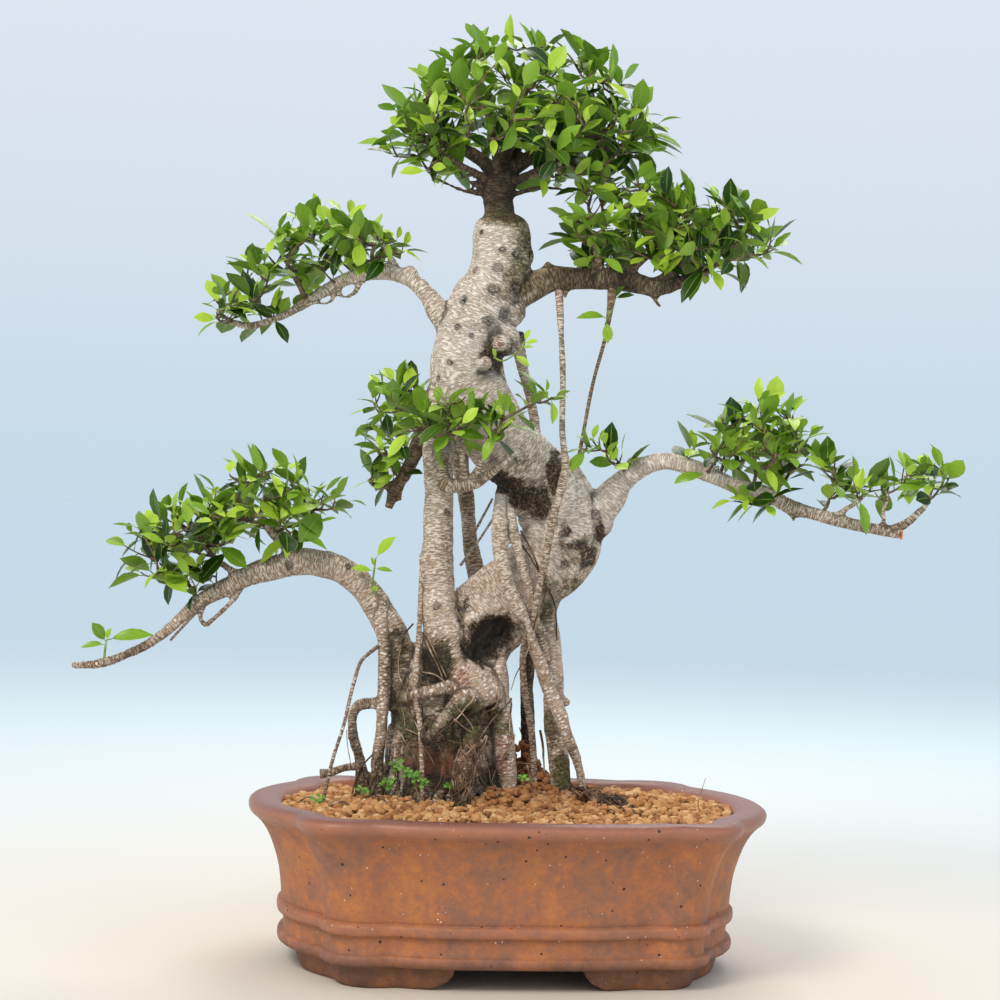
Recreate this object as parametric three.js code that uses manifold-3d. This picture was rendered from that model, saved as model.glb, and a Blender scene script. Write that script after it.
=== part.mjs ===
// A large ficus bonsai grown in the banyan style, in a lobed unglazed pot. Millimetres, +Z up.
// The pot's long side lies along X. The tree is drawn as it is seen from its best side, x to the right,
// y away from the eye and z up from the table, and the whole tree is then turned a little in the pot.
// The origin is on the table, below the middle of the whole outline.
import * as THREE from "three";
import { mergeVertices } from "three/addons/utils/BufferGeometryUtils.js";
import Module from "manifold-3d";

const wasm = await Module();
wasm.setup();

// Driving dimensions
const POT_HALF_LENGTH = 219;
const POT_HALF_DEPTH = 165;
const POT_HEIGHT = 137.5;
const FOOT_HEIGHT = 18;
const FLOOR_TOP = 30;
const TREE_TURN = THREE.MathUtils.degToRad(-5.6);
const CLEARANCE = 0.42;
const LEAF_THICKNESS = 0.8;
const LEAF_WIDTH_SHARE = 0.5;
const GOLDEN_ANGLE = Math.PI * (3 - Math.sqrt(5));

// Materials
const finish = (color, roughness) => new THREE.MeshStandardMaterial({ color, roughness, metalness: 0 });
const stoneware = finish(0x8f5f47, 0.62);
const substrate = finish(0xb07f45, 0.95);
const bark = finish(0x9c8b77, 0.85);
const foliage = finish(0x4f8a2c, 0.4);
const herb = finish(0x5fae3a, 0.6);
const plasticNet = finish(0x2d2f2c, 0.7);

// Joining and cutting
function solidOf(geometry) {
  const bare = geometry.clone();
  bare.deleteAttribute("normal");
  bare.deleteAttribute("uv");
  const merged = mergeVertices(bare, 1e-4);
  return new wasm.Manifold(
    new wasm.Mesh({
      numProp: 3,
      vertProperties: new Float32Array(merged.attributes.position.array),
      triVerts: new Uint32Array(merged.index.array),
    }),
  );
}

function joined(solids) {
  let level = solids;
  while (level.length > 1) {
    const next = [];
    for (let i = 0; i < level.length; i += 2) {
      next.push(i + 1 < level.length ? level[i].add(level[i + 1]) : level[i]);
    }
    level = next;
  }
  return level[0];
}

// The largest connected body of a solid: a scrap that a cut leaves loose is dropped.
function mainBody(solid) {
  const bodies = solid.decompose();
  return bodies.reduce((best, b) => (b.volume() > best.volume() ? b : best), bodies[0]);
}

function pieceOf(name, solid, material) {
  const mesh = solid.getMesh();
  const geometry = new THREE.BufferGeometry();
  geometry.setAttribute("position", new THREE.BufferAttribute(Float32Array.from(mesh.vertProperties), 3));
  geometry.setIndex(new THREE.BufferAttribute(Uint32Array.from(mesh.triVerts), 1));
  geometry.computeVertexNormals();
  const piece = new THREE.Mesh(geometry, material);
  piece.name = name;
  return piece;
}

function geometryFrom(points, faces) {
  const geometry = new THREE.BufferGeometry();
  geometry.setAttribute("position", new THREE.Float32BufferAttribute(points.flat(), 3));
  geometry.setIndex(faces.flat());
  return geometry;
}

// A small repeatable random source, so that every build places the leaves alike.
function randomSource(seed) {
  let state = seed >>> 0;
  return () => {
    state = (Math.imul(state, 1664525) + 1013904223) >>> 0;
    return state / 4294967296;
  };
}

// The faces between rings of as many points each.
function wallFaces(rings) {
  const n = rings[0].length;
  const faces = [];
  for (let k = 0; k + 1 < rings.length; k++) {
    for (let j = 0; j < n; j++) {
      const a = k * n + j;
      const b = k * n + ((j + 1) % n);
      faces.push([a, b, b + n], [a, b + n, a + n]);
    }
  }
  return faces;
}

// A closed stack of lobed rings, its first and last ring capped from a middle point.
function stackOfRings(rings, startCentre, endCentre) {
  const n = rings[0].length;
  const points = [...rings.flat(), startCentre, endCentre];
  const faces = wallFaces(rings);
  const start = points.length - 2;
  const last = (rings.length - 1) * n;
  for (let j = 0; j < n; j++) {
    faces.push([start, (j + 1) % n, j]);
    faces.push([start + 1, last + j, last + ((j + 1) % n)]);
  }
  return geometryFrom(points, faces);
}

// A closed tube through round rings, each end one flat face.
function tubeThrough(rings) {
  const n = rings[0].length;
  const faces = wallFaces(rings);
  const last = (rings.length - 1) * n;
  for (let j = 1; j + 1 < n; j++) {
    faces.push([0, j + 1, j], [last, last + j, last + j + 1]);
  }
  return geometryFrom(rings.flat(), faces);
}

// Pot
// The plan has eight lobes that meet in shallow notches: front, back, two ends and four corners.
const FRONT_NOTCH = [120, 156];
const END_NOTCH = [187, 116];
const CORNER_BULGE = 23;

function arcBetween([x0, y0], [x1, y1], bulge, steps) {
  const points = [];
  const dx = x1 - x0;
  const dy = y1 - y0;
  const chord = Math.hypot(dx, dy);
  for (let i = 0; i < steps; i++) {
    const t = i / steps;
    const out = 4 * bulge * t * (1 - t);
    points.push([x0 + dx * t + (dy / chord) * out, y0 + dy * t - (dx / chord) * out]);
  }
  return points;
}

function potPlan() {
  const [fx, fy] = FRONT_NOTCH;
  const [ex, ey] = END_NOTCH;
  const frontBulge = POT_HALF_DEPTH - fy;
  const endBulge = POT_HALF_LENGTH - ex;
  return [
    ...arcBetween([ex, -ey], [ex, ey], endBulge, 8),
    ...arcBetween([ex, ey], [fx, fy], CORNER_BULGE, 4),
    ...arcBetween([fx, fy], [-fx, fy], frontBulge, 8),
    ...arcBetween([-fx, fy], [-ex, ey], CORNER_BULGE, 4),
    ...arcBetween([-ex, ey], [-ex, -ey], endBulge, 8),
    ...arcBetween([-ex, -ey], [-fx, -fy], CORNER_BULGE, 4),
    ...arcBetween([-fx, -fy], [fx, -fy], frontBulge, 8),
    ...arcBetween([fx, -fy], [ex, -ey], CORNER_BULGE, 4),
  ];
}
const PLAN = potPlan();

// The plan drawn in by `inset` from the rim's edge. The depth draws in a little less than the length.
const DEPTH_DRAW = 0.9;
function planAt(inset, z) {
  const sx = 1 - inset / POT_HALF_LENGTH;
  const sy = 1 - (DEPTH_DRAW * inset) / POT_HALF_DEPTH;
  return PLAN.map(([x, y]) => [x * sx, y * sy, z]);
}

// Wall profile as [inset, height]: base, two rounded belts, flaring wall, rolled lip, inner wall, floor.
const OUTER_PROFILE = [
  [34, FOOT_HEIGHT], [26, 21], [26, 28], [30.5, 31],
  [30.5, 43], [26, 46], [26, 52], [29, 56],
  [26, 84], [18, 108], [10, 121], [1.5, 127], [0, 133],
  [9, POT_HEIGHT], [22, POT_HEIGHT], [28.5, 130],
];
const INNER_WALL = { top: [28.5, 130], bottom: [41, 34] };
const INNER_PROFILE = [INNER_WALL.bottom, [47, FLOOR_TOP]];

const FOOT = { top: 38, toe: 43, heel: 64 };
const FRONT_GAP = { top: 52, bottom: 76 };
const END_GAP = { top: 34, bottom: 50 };
const DRAIN = { x: 95, radius: 13 };

function footGap(halfTop, halfBottom, reach) {
  const shape = new THREE.Shape();
  shape.moveTo(-halfBottom, -1);
  shape.lineTo(halfBottom, -1);
  shape.quadraticCurveTo(halfTop + 3, 2, halfTop, FOOT_HEIGHT + 0.01);
  shape.lineTo(-halfTop, FOOT_HEIGHT + 0.01);
  shape.quadraticCurveTo(-halfTop - 3, 2, -halfBottom, -1);
  const bar = new THREE.ExtrudeGeometry(shape, { depth: 2 * reach, bevelEnabled: false, curveSegments: 4 });
  bar.translate(0, 0, -reach);
  bar.rotateX(Math.PI / 2);
  return bar;
}

function makePot() {
  const rings = [...OUTER_PROFILE, ...INNER_PROFILE].map(([inset, z]) => planAt(inset, z));
  const shell = solidOf(stackOfRings(rings, [0, 0, FOOT_HEIGHT], [0, 0, FLOOR_TOP]));
  const plinth = stackOfRings(
    [planAt(FOOT.toe, 0), planAt(FOOT.top, FOOT_HEIGHT + 1)], [0, 0, 0], [0, 0, FOOT_HEIGHT + 1],
  );
  const hollow = stackOfRings(
    [planAt(FOOT.heel, -1), planAt(FOOT.heel, FOOT_HEIGHT)], [0, 0, -1], [0, 0, FOOT_HEIGHT],
  );
  const footRing = solidOf(plinth).subtract(solidOf(hollow));
  const feet = footRing
    .subtract(solidOf(footGap(FRONT_GAP.top, FRONT_GAP.bottom, 200)))
    .subtract(solidOf(footGap(END_GAP.top, END_GAP.bottom, 240).rotateZ(Math.PI / 2)));
  let pot = shell.add(feet);
  for (const side of [-1, 1]) {
    const bore = new THREE.CylinderGeometry(DRAIN.radius, DRAIN.radius, 30, 16).rotateX(Math.PI / 2);
    pot = pot.subtract(solidOf(bore.translate(side * DRAIN.x, 0, FOOT_HEIGHT + 8)));
  }
  return pot;
}

// Drain nets
const NET = { half: 20, thickness: 1.2, hole: 11, pitch: 9 };

// A square cut from coarse net, its bottom face at z.
function makeNet(x, z) {
  const height = z + NET.thickness / 2;
  const sheet = new THREE.BoxGeometry(2 * NET.half, 2 * NET.half, NET.thickness);
  let net = solidOf(sheet.translate(x, 0, height));
  for (const i of [-1, 1]) {
    for (const j of [-1, 1]) {
      const hole = new THREE.BoxGeometry(NET.hole, NET.hole, 2 * NET.thickness);
      net = net.subtract(solidOf(hole.translate(x + i * NET.pitch, j * NET.pitch, height)));
    }
  }
  return net;
}

// Limbs
// A limb is a closed tapering tube through [x, y, z, radius] points.
function limbGeometry(route, { sides = 6, perSpan = 1, grow = 0, rough = 0 } = {}) {
  const curve = new THREE.CatmullRomCurve3(
    route.map(([x, y, z]) => new THREE.Vector3(x, y, z)), false, "centripetal",
  );
  const spans = route.length - 1;
  const count = Math.max(1, Math.round(spans * perSpan));
  const radiusAt = (t) => {
    const p = Math.min(t * spans, spans - 1e-9);
    const i = Math.floor(p);
    return THREE.MathUtils.lerp(route[i][3], route[i + 1][3], p - i);
  };
  const rings = [];
  const tangent = curve.getTangent(0);
  const across = new THREE.Vector3(Math.abs(tangent.z) < 0.8 ? 0 : 1, 0, Math.abs(tangent.z) < 0.8 ? 1 : 0);
  for (let k = 0; k <= count; k++) {
    const t = k / count;
    curve.getTangent(t, tangent);
    across.addScaledVector(tangent, -across.dot(tangent)).normalize();
    const other = new THREE.Vector3().crossVectors(tangent, across);
    const centre = curve.getPoint(t);
    const end = k === 0 ? -1 : k === count ? 1 : 0;
    centre.addScaledVector(tangent, grow * end);
    const ring = [];
    for (let j = 0; j < sides; j++) {
      const a = (2 * Math.PI * j) / sides;
      const wave = (Math.sin(3 * a + 5 * t * spans) + Math.sin(2 * a - 3 * t * spans + 1.3)) / 2;
      const radius = radiusAt(t) * (1 + rough * wave) + grow;
      ring.push(
        centre.clone()
          .addScaledVector(across, radius * Math.cos(a))
          .addScaledVector(other, radius * Math.sin(a))
          .toArray(),
      );
    }
    rings.push(ring);
  }
  return tubeThrough(rings);
}

// Trunk, from its root spread in the substrate up to the old cut where the crown starts.
const TRUNK = [
  [-57, 5, 100, 56], [-56, 5, 143, 53], [-57, 5, 181, 47], [-55, 5, 219, 42],
  [-42, 5, 262, 39], [-14, 5, 299, 37], [22, 6, 325, 38], [45, 8, 358, 40],
  [46, 8, 393, 38], [24, 5, 421, 36], [-10, 2, 442, 35], [-38, 0, 472, 33],
  [-48, 0, 499, 31], [-43, 0, 530, 34], [-35, 0, 554, 32], [-26, 0, 578, 29],
  [-20, 0, 603, 28], [-17, 0, 627, 26],
];
const CROWN_STEM = [[-18, 0, 610, 20], [-21, 0, 638, 14], [-23, 0, 656, 12], [-22, 0, 676, 11]];

// The front pillar, an aerial root as thick as a wrist, and the knee that it ends in.
const PILLAR = [
  [-62, -6, 491, 14], [-66, -12, 449, 13], [-66, -14, 406, 13], [-65, -14, 356, 13],
  [-64, -14, 314, 15], [-56, -18, 272, 20], [-36, -24, 239, 22], [-21, -22, 218, 17],
];
const KNEE = [[-31, -30, 231, 14], [-46, -34, 218, 8], [-59, -34, 204, 6], [-70, -30, 190, 5]];

// The long lower left limb and the prop root that drops from its bend.
const LEFT_LIMB = [
  [-88, 0, 212, 20], [-93, 0, 261, 16], [-98, 0, 291, 12], [-109, 0, 307, 11], [-119, 0, 318, 11],
  [-134, -2, 328, 12], [-156, -4, 335, 12], [-177, -6, 337, 12], [-198, -8, 332, 11],
  [-220, -10, 326, 10], [-241, -12, 314, 8.5], [-262, -14, 301, 7], [-278, -15, 287, 5.5],
  [-297, -16, 268, 4.5], [-325, -18, 252, 4], [-348, -20, 244, 4], [-370, -22, 242, 3],
];
const PROP_ROOT = [
  [-112, -4, 306, 8.5], [-111, -10, 283, 6], [-108, -14, 262, 5.5], [-107, -16, 228, 5.5],
  [-108, -18, 198, 5.5], [-110, -18, 176, 5.5], [-110, -18, 120, 6],
];
const UPPER_LEFT_LIMB = [
  [-55, 0, 530, 13], [-72, 0, 553, 9.5], [-81, 2, 565, 7.5], [-94, 4, 578, 7], [-111, 6, 584, 7],
  [-131, 8, 584, 7], [-153, 10, 577, 6], [-174, 12, 564, 5.5], [-194, 14, 550, 4],
  [-210, 15, 541, 3.5], [-233, 16, 534, 3.5], [-250, 17, 538, 2.5],
];
const UPPER_RIGHT_LIMB = [
  [-8, 0, 566, 16], [24, 0, 584, 12], [44, -2, 585, 9.5], [64, -4, 583, 9], [90, -6, 580, 9],
  [113, -8, 574, 7.5], [130, -9, 578, 6], [146, -10, 585, 4], [163, -10, 597, 3],
];
const LOWER_RIGHT_LIMB = [
  [60, 4, 372, 18], [78, 2, 394, 13.5], [90, 0, 409, 10], [109, -2, 424, 8.5], [126, -4, 428, 7.5],
  [146, -6, 424, 7.5], [164, -8, 417, 7], [185, -9, 409, 7], [209, -10, 403, 7],
  [231, -10, 394, 6], [252, -10, 389, 5.5], [274, -10, 383, 5.5], [298, -10, 378, 5], [326, -10, 375, 5],
];
const CROWN_LIMBS = [
  [[-22, 0, 664, 10], [-16, 4, 692, 8], [-6, 2, 716, 6], [0, 0, 730, 4.5]],
  [[-22, 0, 664, 9], [-40, 4, 682, 8], [-62, 6, 692, 6.5], [-84, 6, 698, 5]],
  [[-20, 0, 664, 9], [4, -4, 682, 8], [36, -6, 694, 6.5], [66, -6, 702, 5]],
];
const BACK_LIMB = [
  [-66, 8, 486, 12], [-78, 34, 458, 8.5], [-87, 46, 434, 7.5], [-96, 54, 413, 6.5],
  [-106, 60, 397, 5.5], [-111, 64, 381, 4],
];
const FRONT_KNOB = [
  [-63, -24, 436, 7.5], [-63, -40, 415, 6.5], [-60, -44, 403, 6.5], [-49, -46, 402, 6],
  [-33, -46, 405, 5], [-21, -44, 414, 4],
];

// Root trunks and aerial roots that stand in the substrate or grow back into the trunk.
const ROOTS = {
  right: [
    [36, 0, 329, 16], [32, 0, 294, 10], [36, 0, 277, 9.5], [39, 0, 256, 10], [39, 0, 233, 9.5],
    [36, 2, 212, 7.5], [37, 4, 192, 7.5], [43, 2, 169, 9.5], [47, 0, 112, 11],
  ],
  centre: [
    [-19, -4, 272, 12], [-13, -8, 249, 9.5], [-4, -10, 222, 9], [-2, -10, 192, 9],
    [0, -10, 163, 9], [3, -10, 112, 9.5],
  ],
  longDiagonal: [
    [-12, -14, 408, 6], [-14, -30, 378, 6.5], [-13, -36, 354, 6.5], [-10, -40, 337, 6],
    [-4, -42, 316, 6], [7, -40, 295, 5.5], [15, -36, 275, 5.5], [24, -30, 255, 6],
    [33, -24, 231, 6.5], [42, -22, 211, 6.5], [49, -20, 193, 5.5], [57, -18, 174, 4.5],
    [62, -18, 157, 4], [66, -18, 118, 4],
  ],
  shortDiagonal: [
    [-8, -16, 402, 5], [-2, -32, 370, 5.5], [4, -37, 346, 5.5], [11, -36, 325, 5],
    [16, -32, 304, 4.5], [22, -24, 280, 5], [30, -14, 256, 4],
  ],
  thinLong: [
    [31, 0, 580, 4], [33, -8, 536, 2.5], [36, -18, 493, 2.5], [38, -30, 449, 2.5], [40, -38, 423, 3],
    [38, -40, 407, 3.5], [33, -43, 385, 3.5], [27, -42, 353, 3.5], [22, -40, 325, 3],
    [17, -36, 296, 2.5], [10, -24, 266, 3], [11, -14, 234, 3], [16, -8, 211, 3],
    [20, -4, 184, 3], [24, -4, 118, 3],
  ],
  thinSlant: [
    [77, -4, 577, 4], [74, -8, 559, 2.5], [70, -10, 533, 2], [62, -8, 493, 2],
    [55, -4, 444, 2], [50, -2, 408, 2.5],
  ],
  thinFront: [
    [-81, -6, 340, 2.5], [-81, -24, 300, 2.5], [-81, -34, 254, 2.5], [-80, -42, 226, 2.5],
    [-75, -48, 205, 2.5], [-70, -50, 128, 2],
  ],
  thinLeft: [
    [-106, -14, 270, 2.5], [-119, -22, 260, 1.8], [-126, -26, 253, 1.8], [-132, -30, 233, 1.8],
    [-139, -34, 199, 1.8], [-147, -36, 171, 1.8], [-157, -36, 122, 1.8],
  ],
  hook: [
    [-104, -12, 217, 5], [-120, -14, 216, 5], [-129, -14, 214, 4.8], [-133, -14, 206, 4.5],
    [-132, -14, 190, 4.5], [-127, -14, 173, 4.5], [-124, -14, 156, 6], [-121, -14, 116, 7],
  ],
  hookStub: [[-121, -14, 164, 4], [-138, -18, 162, 3], [-150, -22, 158, 3.5], [-158, -24, 157, 4.2]],
  cross: [[-92, -18, 222, 6], [-82, -40, 226, 5], [-67, -46, 231, 5], [-46, -38, 235, 6]],
  frontFoot: [[-27, -38, 200, 8], [-33, -54, 178, 6], [-38, -60, 158, 5.5], [-38, -62, 118, 5.5]],
  backPillar: [
    [-50, 14, 452, 10], [-48, 32, 420, 7.5], [-42, 36, 385, 7], [-38, 36, 350, 7],
    [-31, 32, 322, 8.5], [-25, 22, 300, 11],
  ],
  burlOuter: [[-6, 4, 532, 8], [-4, 16, 507, 5], [2, 20, 486, 4.5], [9, 18, 460, 4.5], [14, 10, 436, 5]],
  burlInner: [[-22, -4, 522, 6], [-17, -2, 499, 4.5], [-10, 0, 475, 4.5], [-4, 0, 446, 5]],
  backRight: [[24, 20, 326, 10], [18, 36, 278, 6.5], [14, 40, 230, 6], [16, 42, 191, 6.5], [20, 42, 112, 8]],
  backCentre: [[-34, 36, 296, 14], [-28, 54, 250, 11], [-32, 60, 198, 11], [-36, 64, 112, 12]],
};

// Old pruning scars and burls, as [x, y, z, radius].
const BURLS = [
  [-14, -10, 526, 16], [-4, -6, 550, 13], [2, -6, 598, 12], [76, 0, 374, 17],
];

const WOOD = [
  { route: TRUNK, sides: 12, rough: 0.07 },
  { route: CROWN_STEM, sides: 8, rough: 0.08 },
  { route: PILLAR, sides: 8, rough: 0.03 },
  { route: KNEE, sides: 5 },
  { route: LEFT_LIMB, sides: 7, perSpan: 0.8 },
  { route: PROP_ROOT, sides: 6, perSpan: 0.8 },
  { route: UPPER_LEFT_LIMB, sides: 6, perSpan: 0.8 },
  { route: UPPER_RIGHT_LIMB, sides: 6 },
  { route: LOWER_RIGHT_LIMB, sides: 6, perSpan: 0.8 },
  { route: BACK_LIMB, sides: 6, perSpan: 0.8 },
  { route: FRONT_KNOB, sides: 6 },
  ...CROWN_LIMBS.map((route) => ({ route, sides: 6 })),
  ...Object.values(ROOTS).map((route) => ({ route, sides: route[1][3] < 4 ? 4 : 5, perSpan: 0.6 })),
];

function burlGeometry([x, y, z, radius], grow = 0) {
  return new THREE.IcosahedronGeometry(radius + grow, 1).translate(x, y, z);
}

function makeWood() {
  return joined([
    ...WOOD.map(({ route, ...options }) => solidOf(limbGeometry(route, options))),
    ...BURLS.map((burl) => solidOf(burlGeometry(burl))),
  ]);
}

// The wood a little thicker, which cuts plain holes and seats with a running gap all round.
function woodClearance(turn = 0) {
  return joined([
    ...WOOD.map(({ route, ...options }) => (
      solidOf(limbGeometry(route, { ...options, grow: CLEARANCE }).rotateZ(turn))
    )),
    ...BURLS.map((burl) => solidOf(burlGeometry(burl, CLEARANCE).rotateZ(turn))),
  ]);
}

// Leaves and twigs
// A shoot is a slim stem that ends in a pointed bud. Below the bud it has two tiers of six faces, and a leaf
// grows out of some of them: wide spread ones below and the younger ones, held forward, above.
const SHOOT = { foot: 1.7, end: 1.4, tier: 1.5, bud: 5 };
const LEAF_SEATS = [[0, 0], [0, 2], [0, 4], [1, 1], [1, 3]];
// Half width of a blade along it, as [share of the length, share of the half width].
const BLADE_STATIONS = [[0.36, 0.92], [0.7, 0.96]];

const UP = new THREE.Vector3(0, 0, 1);
const vec = ([x, y, z]) => new THREE.Vector3(x, y, z);

// Four corners across a blade: lower left, lower right, upper right, upper left.
function bladeSection(centre, side, up, half, thickness) {
  return [[-1, -1], [1, -1], [1, 1], [-1, 1]].map(([s, u]) => (
    centre.clone().addScaledVector(side, s * half).addScaledVector(up, (u * thickness) / 2)
  ));
}

// A blade grows from the four corners of its seat and arches down a little towards its pointed tip.
function bladeFrom(seat, along, spread, length, droop, margin = 0) {
  const centre = seat.reduce((sum, p) => sum.add(p), new THREE.Vector3()).divideScalar(4);
  const outward = new THREE.Vector3().crossVectors(seat[1].clone().sub(seat[0]), along).normalize();
  const axis = along.clone().multiplyScalar(Math.cos(spread)).addScaledVector(outward, Math.sin(spread));
  axis.z += 0.2;
  axis.normalize();
  const up = along.clone().addScaledVector(axis, -along.dot(axis)).normalize();
  const side = new THREE.Vector3().crossVectors(up, axis);
  const thickness = LEAF_THICKNESS + 2 * margin;
  const pointAt = (share) => (
    centre.clone().addScaledVector(axis, share * length).addScaledVector(up, -droop * length * share * share)
  );
  const sections = BLADE_STATIONS.map(([share, width]) => (
    bladeSection(pointAt(share), side, up, (width * length * LEAF_WIDTH_SHARE) / 2 + margin, thickness)
  ));
  const tip = pointAt(1).addScaledVector(axis, margin);
  const ends = [-1, 1].map((u) => tip.clone().addScaledVector(up, (u * thickness) / 2));
  return { seat, sections, ends };
}

// The faces of a blade over a list of points that already holds its seat, at the numbers given.
function growBlade({ sections, ends }, seatNumbers, points, faces) {
  let from = seatNumbers;
  for (const section of sections) {
    const to = section.map((p) => points.push(p.toArray()) - 1);
    faces.push([from[0], from[1], to[1]], [from[0], to[1], to[0]]);
    faces.push([from[1], from[2], to[2]], [from[1], to[2], to[1]]);
    faces.push([from[2], from[3], to[2]], [from[3], to[3], to[2]]);
    faces.push([from[3], from[0], to[0]], [from[3], to[0], to[3]]);
    from = to;
  }
  const [low, high] = ends.map((p) => points.push(p.toArray()) - 1);
  faces.push([from[0], from[1], low], [from[2], from[3], high]);
  faces.push([from[1], from[2], high], [from[1], high, low]);
  faces.push([from[3], from[0], low], [from[3], low, high]);
}

function bladeAlone(blade) {
  const points = blade.seat.map((p) => p.toArray());
  const faces = [[0, 3, 2], [0, 2, 1]];
  growBlade(blade, [0, 1, 2, 3], points, faces);
  return solidOf(geometryFrom(points, faces));
}

// One shoot from its hub to its bud, with a place for each leaf.
function shootFrame(hub, tip, phase, perShoot, size, random) {
  const along = tip.clone().sub(hub).normalize();
  const level = Math.abs(along.z) < 0.9 ? UP : vec([1, 0, 0]);
  const across = new THREE.Vector3().crossVectors(along, level).normalize();
  const other = new THREE.Vector3().crossVectors(along, across);
  const ringAt = (centre, radius, sides = 6) => {
    const ring = [];
    for (let j = 0; j < sides; j++) {
      const a = phase + (2 * Math.PI * j) / sides;
      ring.push(
        centre.clone()
          .addScaledVector(across, radius * Math.cos(a))
          .addScaledVector(other, radius * Math.sin(a)),
      );
    }
    return ring;
  };
  const rings = [
    ringAt(tip, SHOOT.end),
    ringAt(tip.clone().addScaledVector(along, SHOOT.tier), SHOOT.end),
    ringAt(tip.clone().addScaledVector(along, 2 * SHOOT.tier), SHOOT.end * 0.9),
  ];
  const foot = ringAt(hub, SHOOT.foot, 3);
  const apex = tip.clone().addScaledVector(along, 2 * SHOOT.tier + SHOOT.bud);
  const places = LEAF_SEATS.slice(0, perShoot).map(([tier, j]) => {
    const next = (j + 1) % 6;
    const seat = [rings[tier][j], rings[tier][next], rings[tier + 1][next], rings[tier + 1][j]];
    const spread = THREE.MathUtils.degToRad((tier === 0 ? 70 : 36) + 16 * (random() - 0.5));
    const length = size * (0.84 + 0.3 * random());
    return { tier, j, seat, along, spread, length, droop: 0.06 + 0.14 * random() };
  });
  return { rings, foot, apex, places };
}

function shootSolid({ rings, foot, apex, places }, withLeaves = true) {
  const points = [...rings.flat(), apex, ...foot].map((p) => p.toArray());
  const [top, base] = [18, 19];
  const faces = [[base, base + 2, base + 1]];
  for (let i = 0; i < 3; i++) {
    const [low, nextLow] = [base + i, base + ((i + 1) % 3)];
    const [first, middle, last] = [2 * i, 2 * i + 1, (2 * i + 2) % 6];
    faces.push([low, nextLow, middle], [nextLow, last, middle], [low, middle, first]);
  }
  const grown = withLeaves ? places.filter((place) => place.blade) : [];
  for (let tier = 0; tier < 2; tier++) {
    for (let j = 0; j < 6; j++) {
      const [here, next] = [6 * tier + j, 6 * tier + ((j + 1) % 6)];
      const quad = [here, next, next + 6, here + 6];
      const place = grown.find((p) => p.tier === tier && p.j === j);
      if (place) growBlade(place.blade, quad, points, faces);
      else faces.push([quad[0], quad[1], quad[2]], [quad[0], quad[2], quad[3]]);
    }
  }
  for (let j = 0; j < 6; j++) faces.push([12 + j, 12 + ((j + 1) % 6), top]);
  return solidOf(geometryFrom(points, faces));
}

// A spray is one side branchlet with its shoots, their tips spread evenly over a dome by the golden angle:
// { foot, at, reach, shoots, leaves, low } are the place it leaves the limb, the dome's centre and half
// sizes, how many shoots it has, how many leaves on each, and how far down the dome they go (as a sine).
const BRANCHLET = 2.4;
function branchletOf({ foot, at, shoots }) {
  const start = vec(foot);
  if (shoots === 1) return { hub: start, stems: [] };
  const hub = start.clone().lerp(vec(at), 0.45);
  const stem = limbGeometry([[...start, BRANCHLET], [...hub, BRANCHLET * 0.8]], { sides: 5 });
  return { hub, stems: [solidOf(stem)] };
}

function shootsOf(hub, { at, reach, shoots, leaves, low, size, seed }) {
  const random = randomSource(seed);
  const list = [];
  for (let k = 0; k < shoots; k++) {
    const height = 1 - ((k + 0.5) / shoots) * (1 - low);
    const turn = k * GOLDEN_ANGLE + seed + 0.5 * (random() - 0.5);
    const around = Math.sqrt(1 - height * height);
    const swell = 0.8 + 0.25 * random();
    const out = new THREE.Vector3(around * Math.cos(turn), around * Math.sin(turn), height);
    const tip = vec(at).add(vec(reach).multiply(out).multiplyScalar(swell));
    list.push(shootFrame(hub, tip, 2 * Math.PI * random(), leaves, size, random));
  }
  return list;
}

const meets = (a, b) => a.intersect(b).volume() > 1e-4;

// The spray as one body. A shoot or leaf that would cross wood, another spray or a leaf is left out.
function makeSpray(sizes, neighbours, clearance) {
  const { hub, stems } = branchletOf(sizes);
  const roomRadius = SHOOT.foot + 1.2 * CLEARANCE;
  const shoots = shootsOf(hub, sizes).filter(({ apex }) => {
    const room = solidOf(limbGeometry([[...hub, roomRadius], [...apex, roomRadius]], { sides: 5 }));
    return neighbours.every((other) => !meets(room, other));
  });
  const bare = shoots.map((shoot) => shootSolid(shoot, false));
  const kept = [];
  shoots.forEach((shoot, i) => {
    for (const place of shoot.places) {
      const { seat, along, spread, length, droop } = place;
      const blade = bladeFrom(seat, along, spread, length, droop);
      const room = bladeAlone(bladeFrom(seat, along, spread, length, droop, CLEARANCE));
      const solid = bladeAlone(blade);
      const free = [clearance, ...neighbours].every((other) => !meets(room, other))
        && stems.every((other) => !meets(solid, other))
        && bare.every((other, k) => k === i || !meets(solid, other))
        && kept.every((other) => !meets(solid, other));
      if (free) {
        kept.push(solid);
        place.blade = blade;
      }
    }
  });
  return mainBody(joined([...stems, ...shoots.map((shoot) => shootSolid(shoot))]).subtract(clearance));
}

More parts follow.
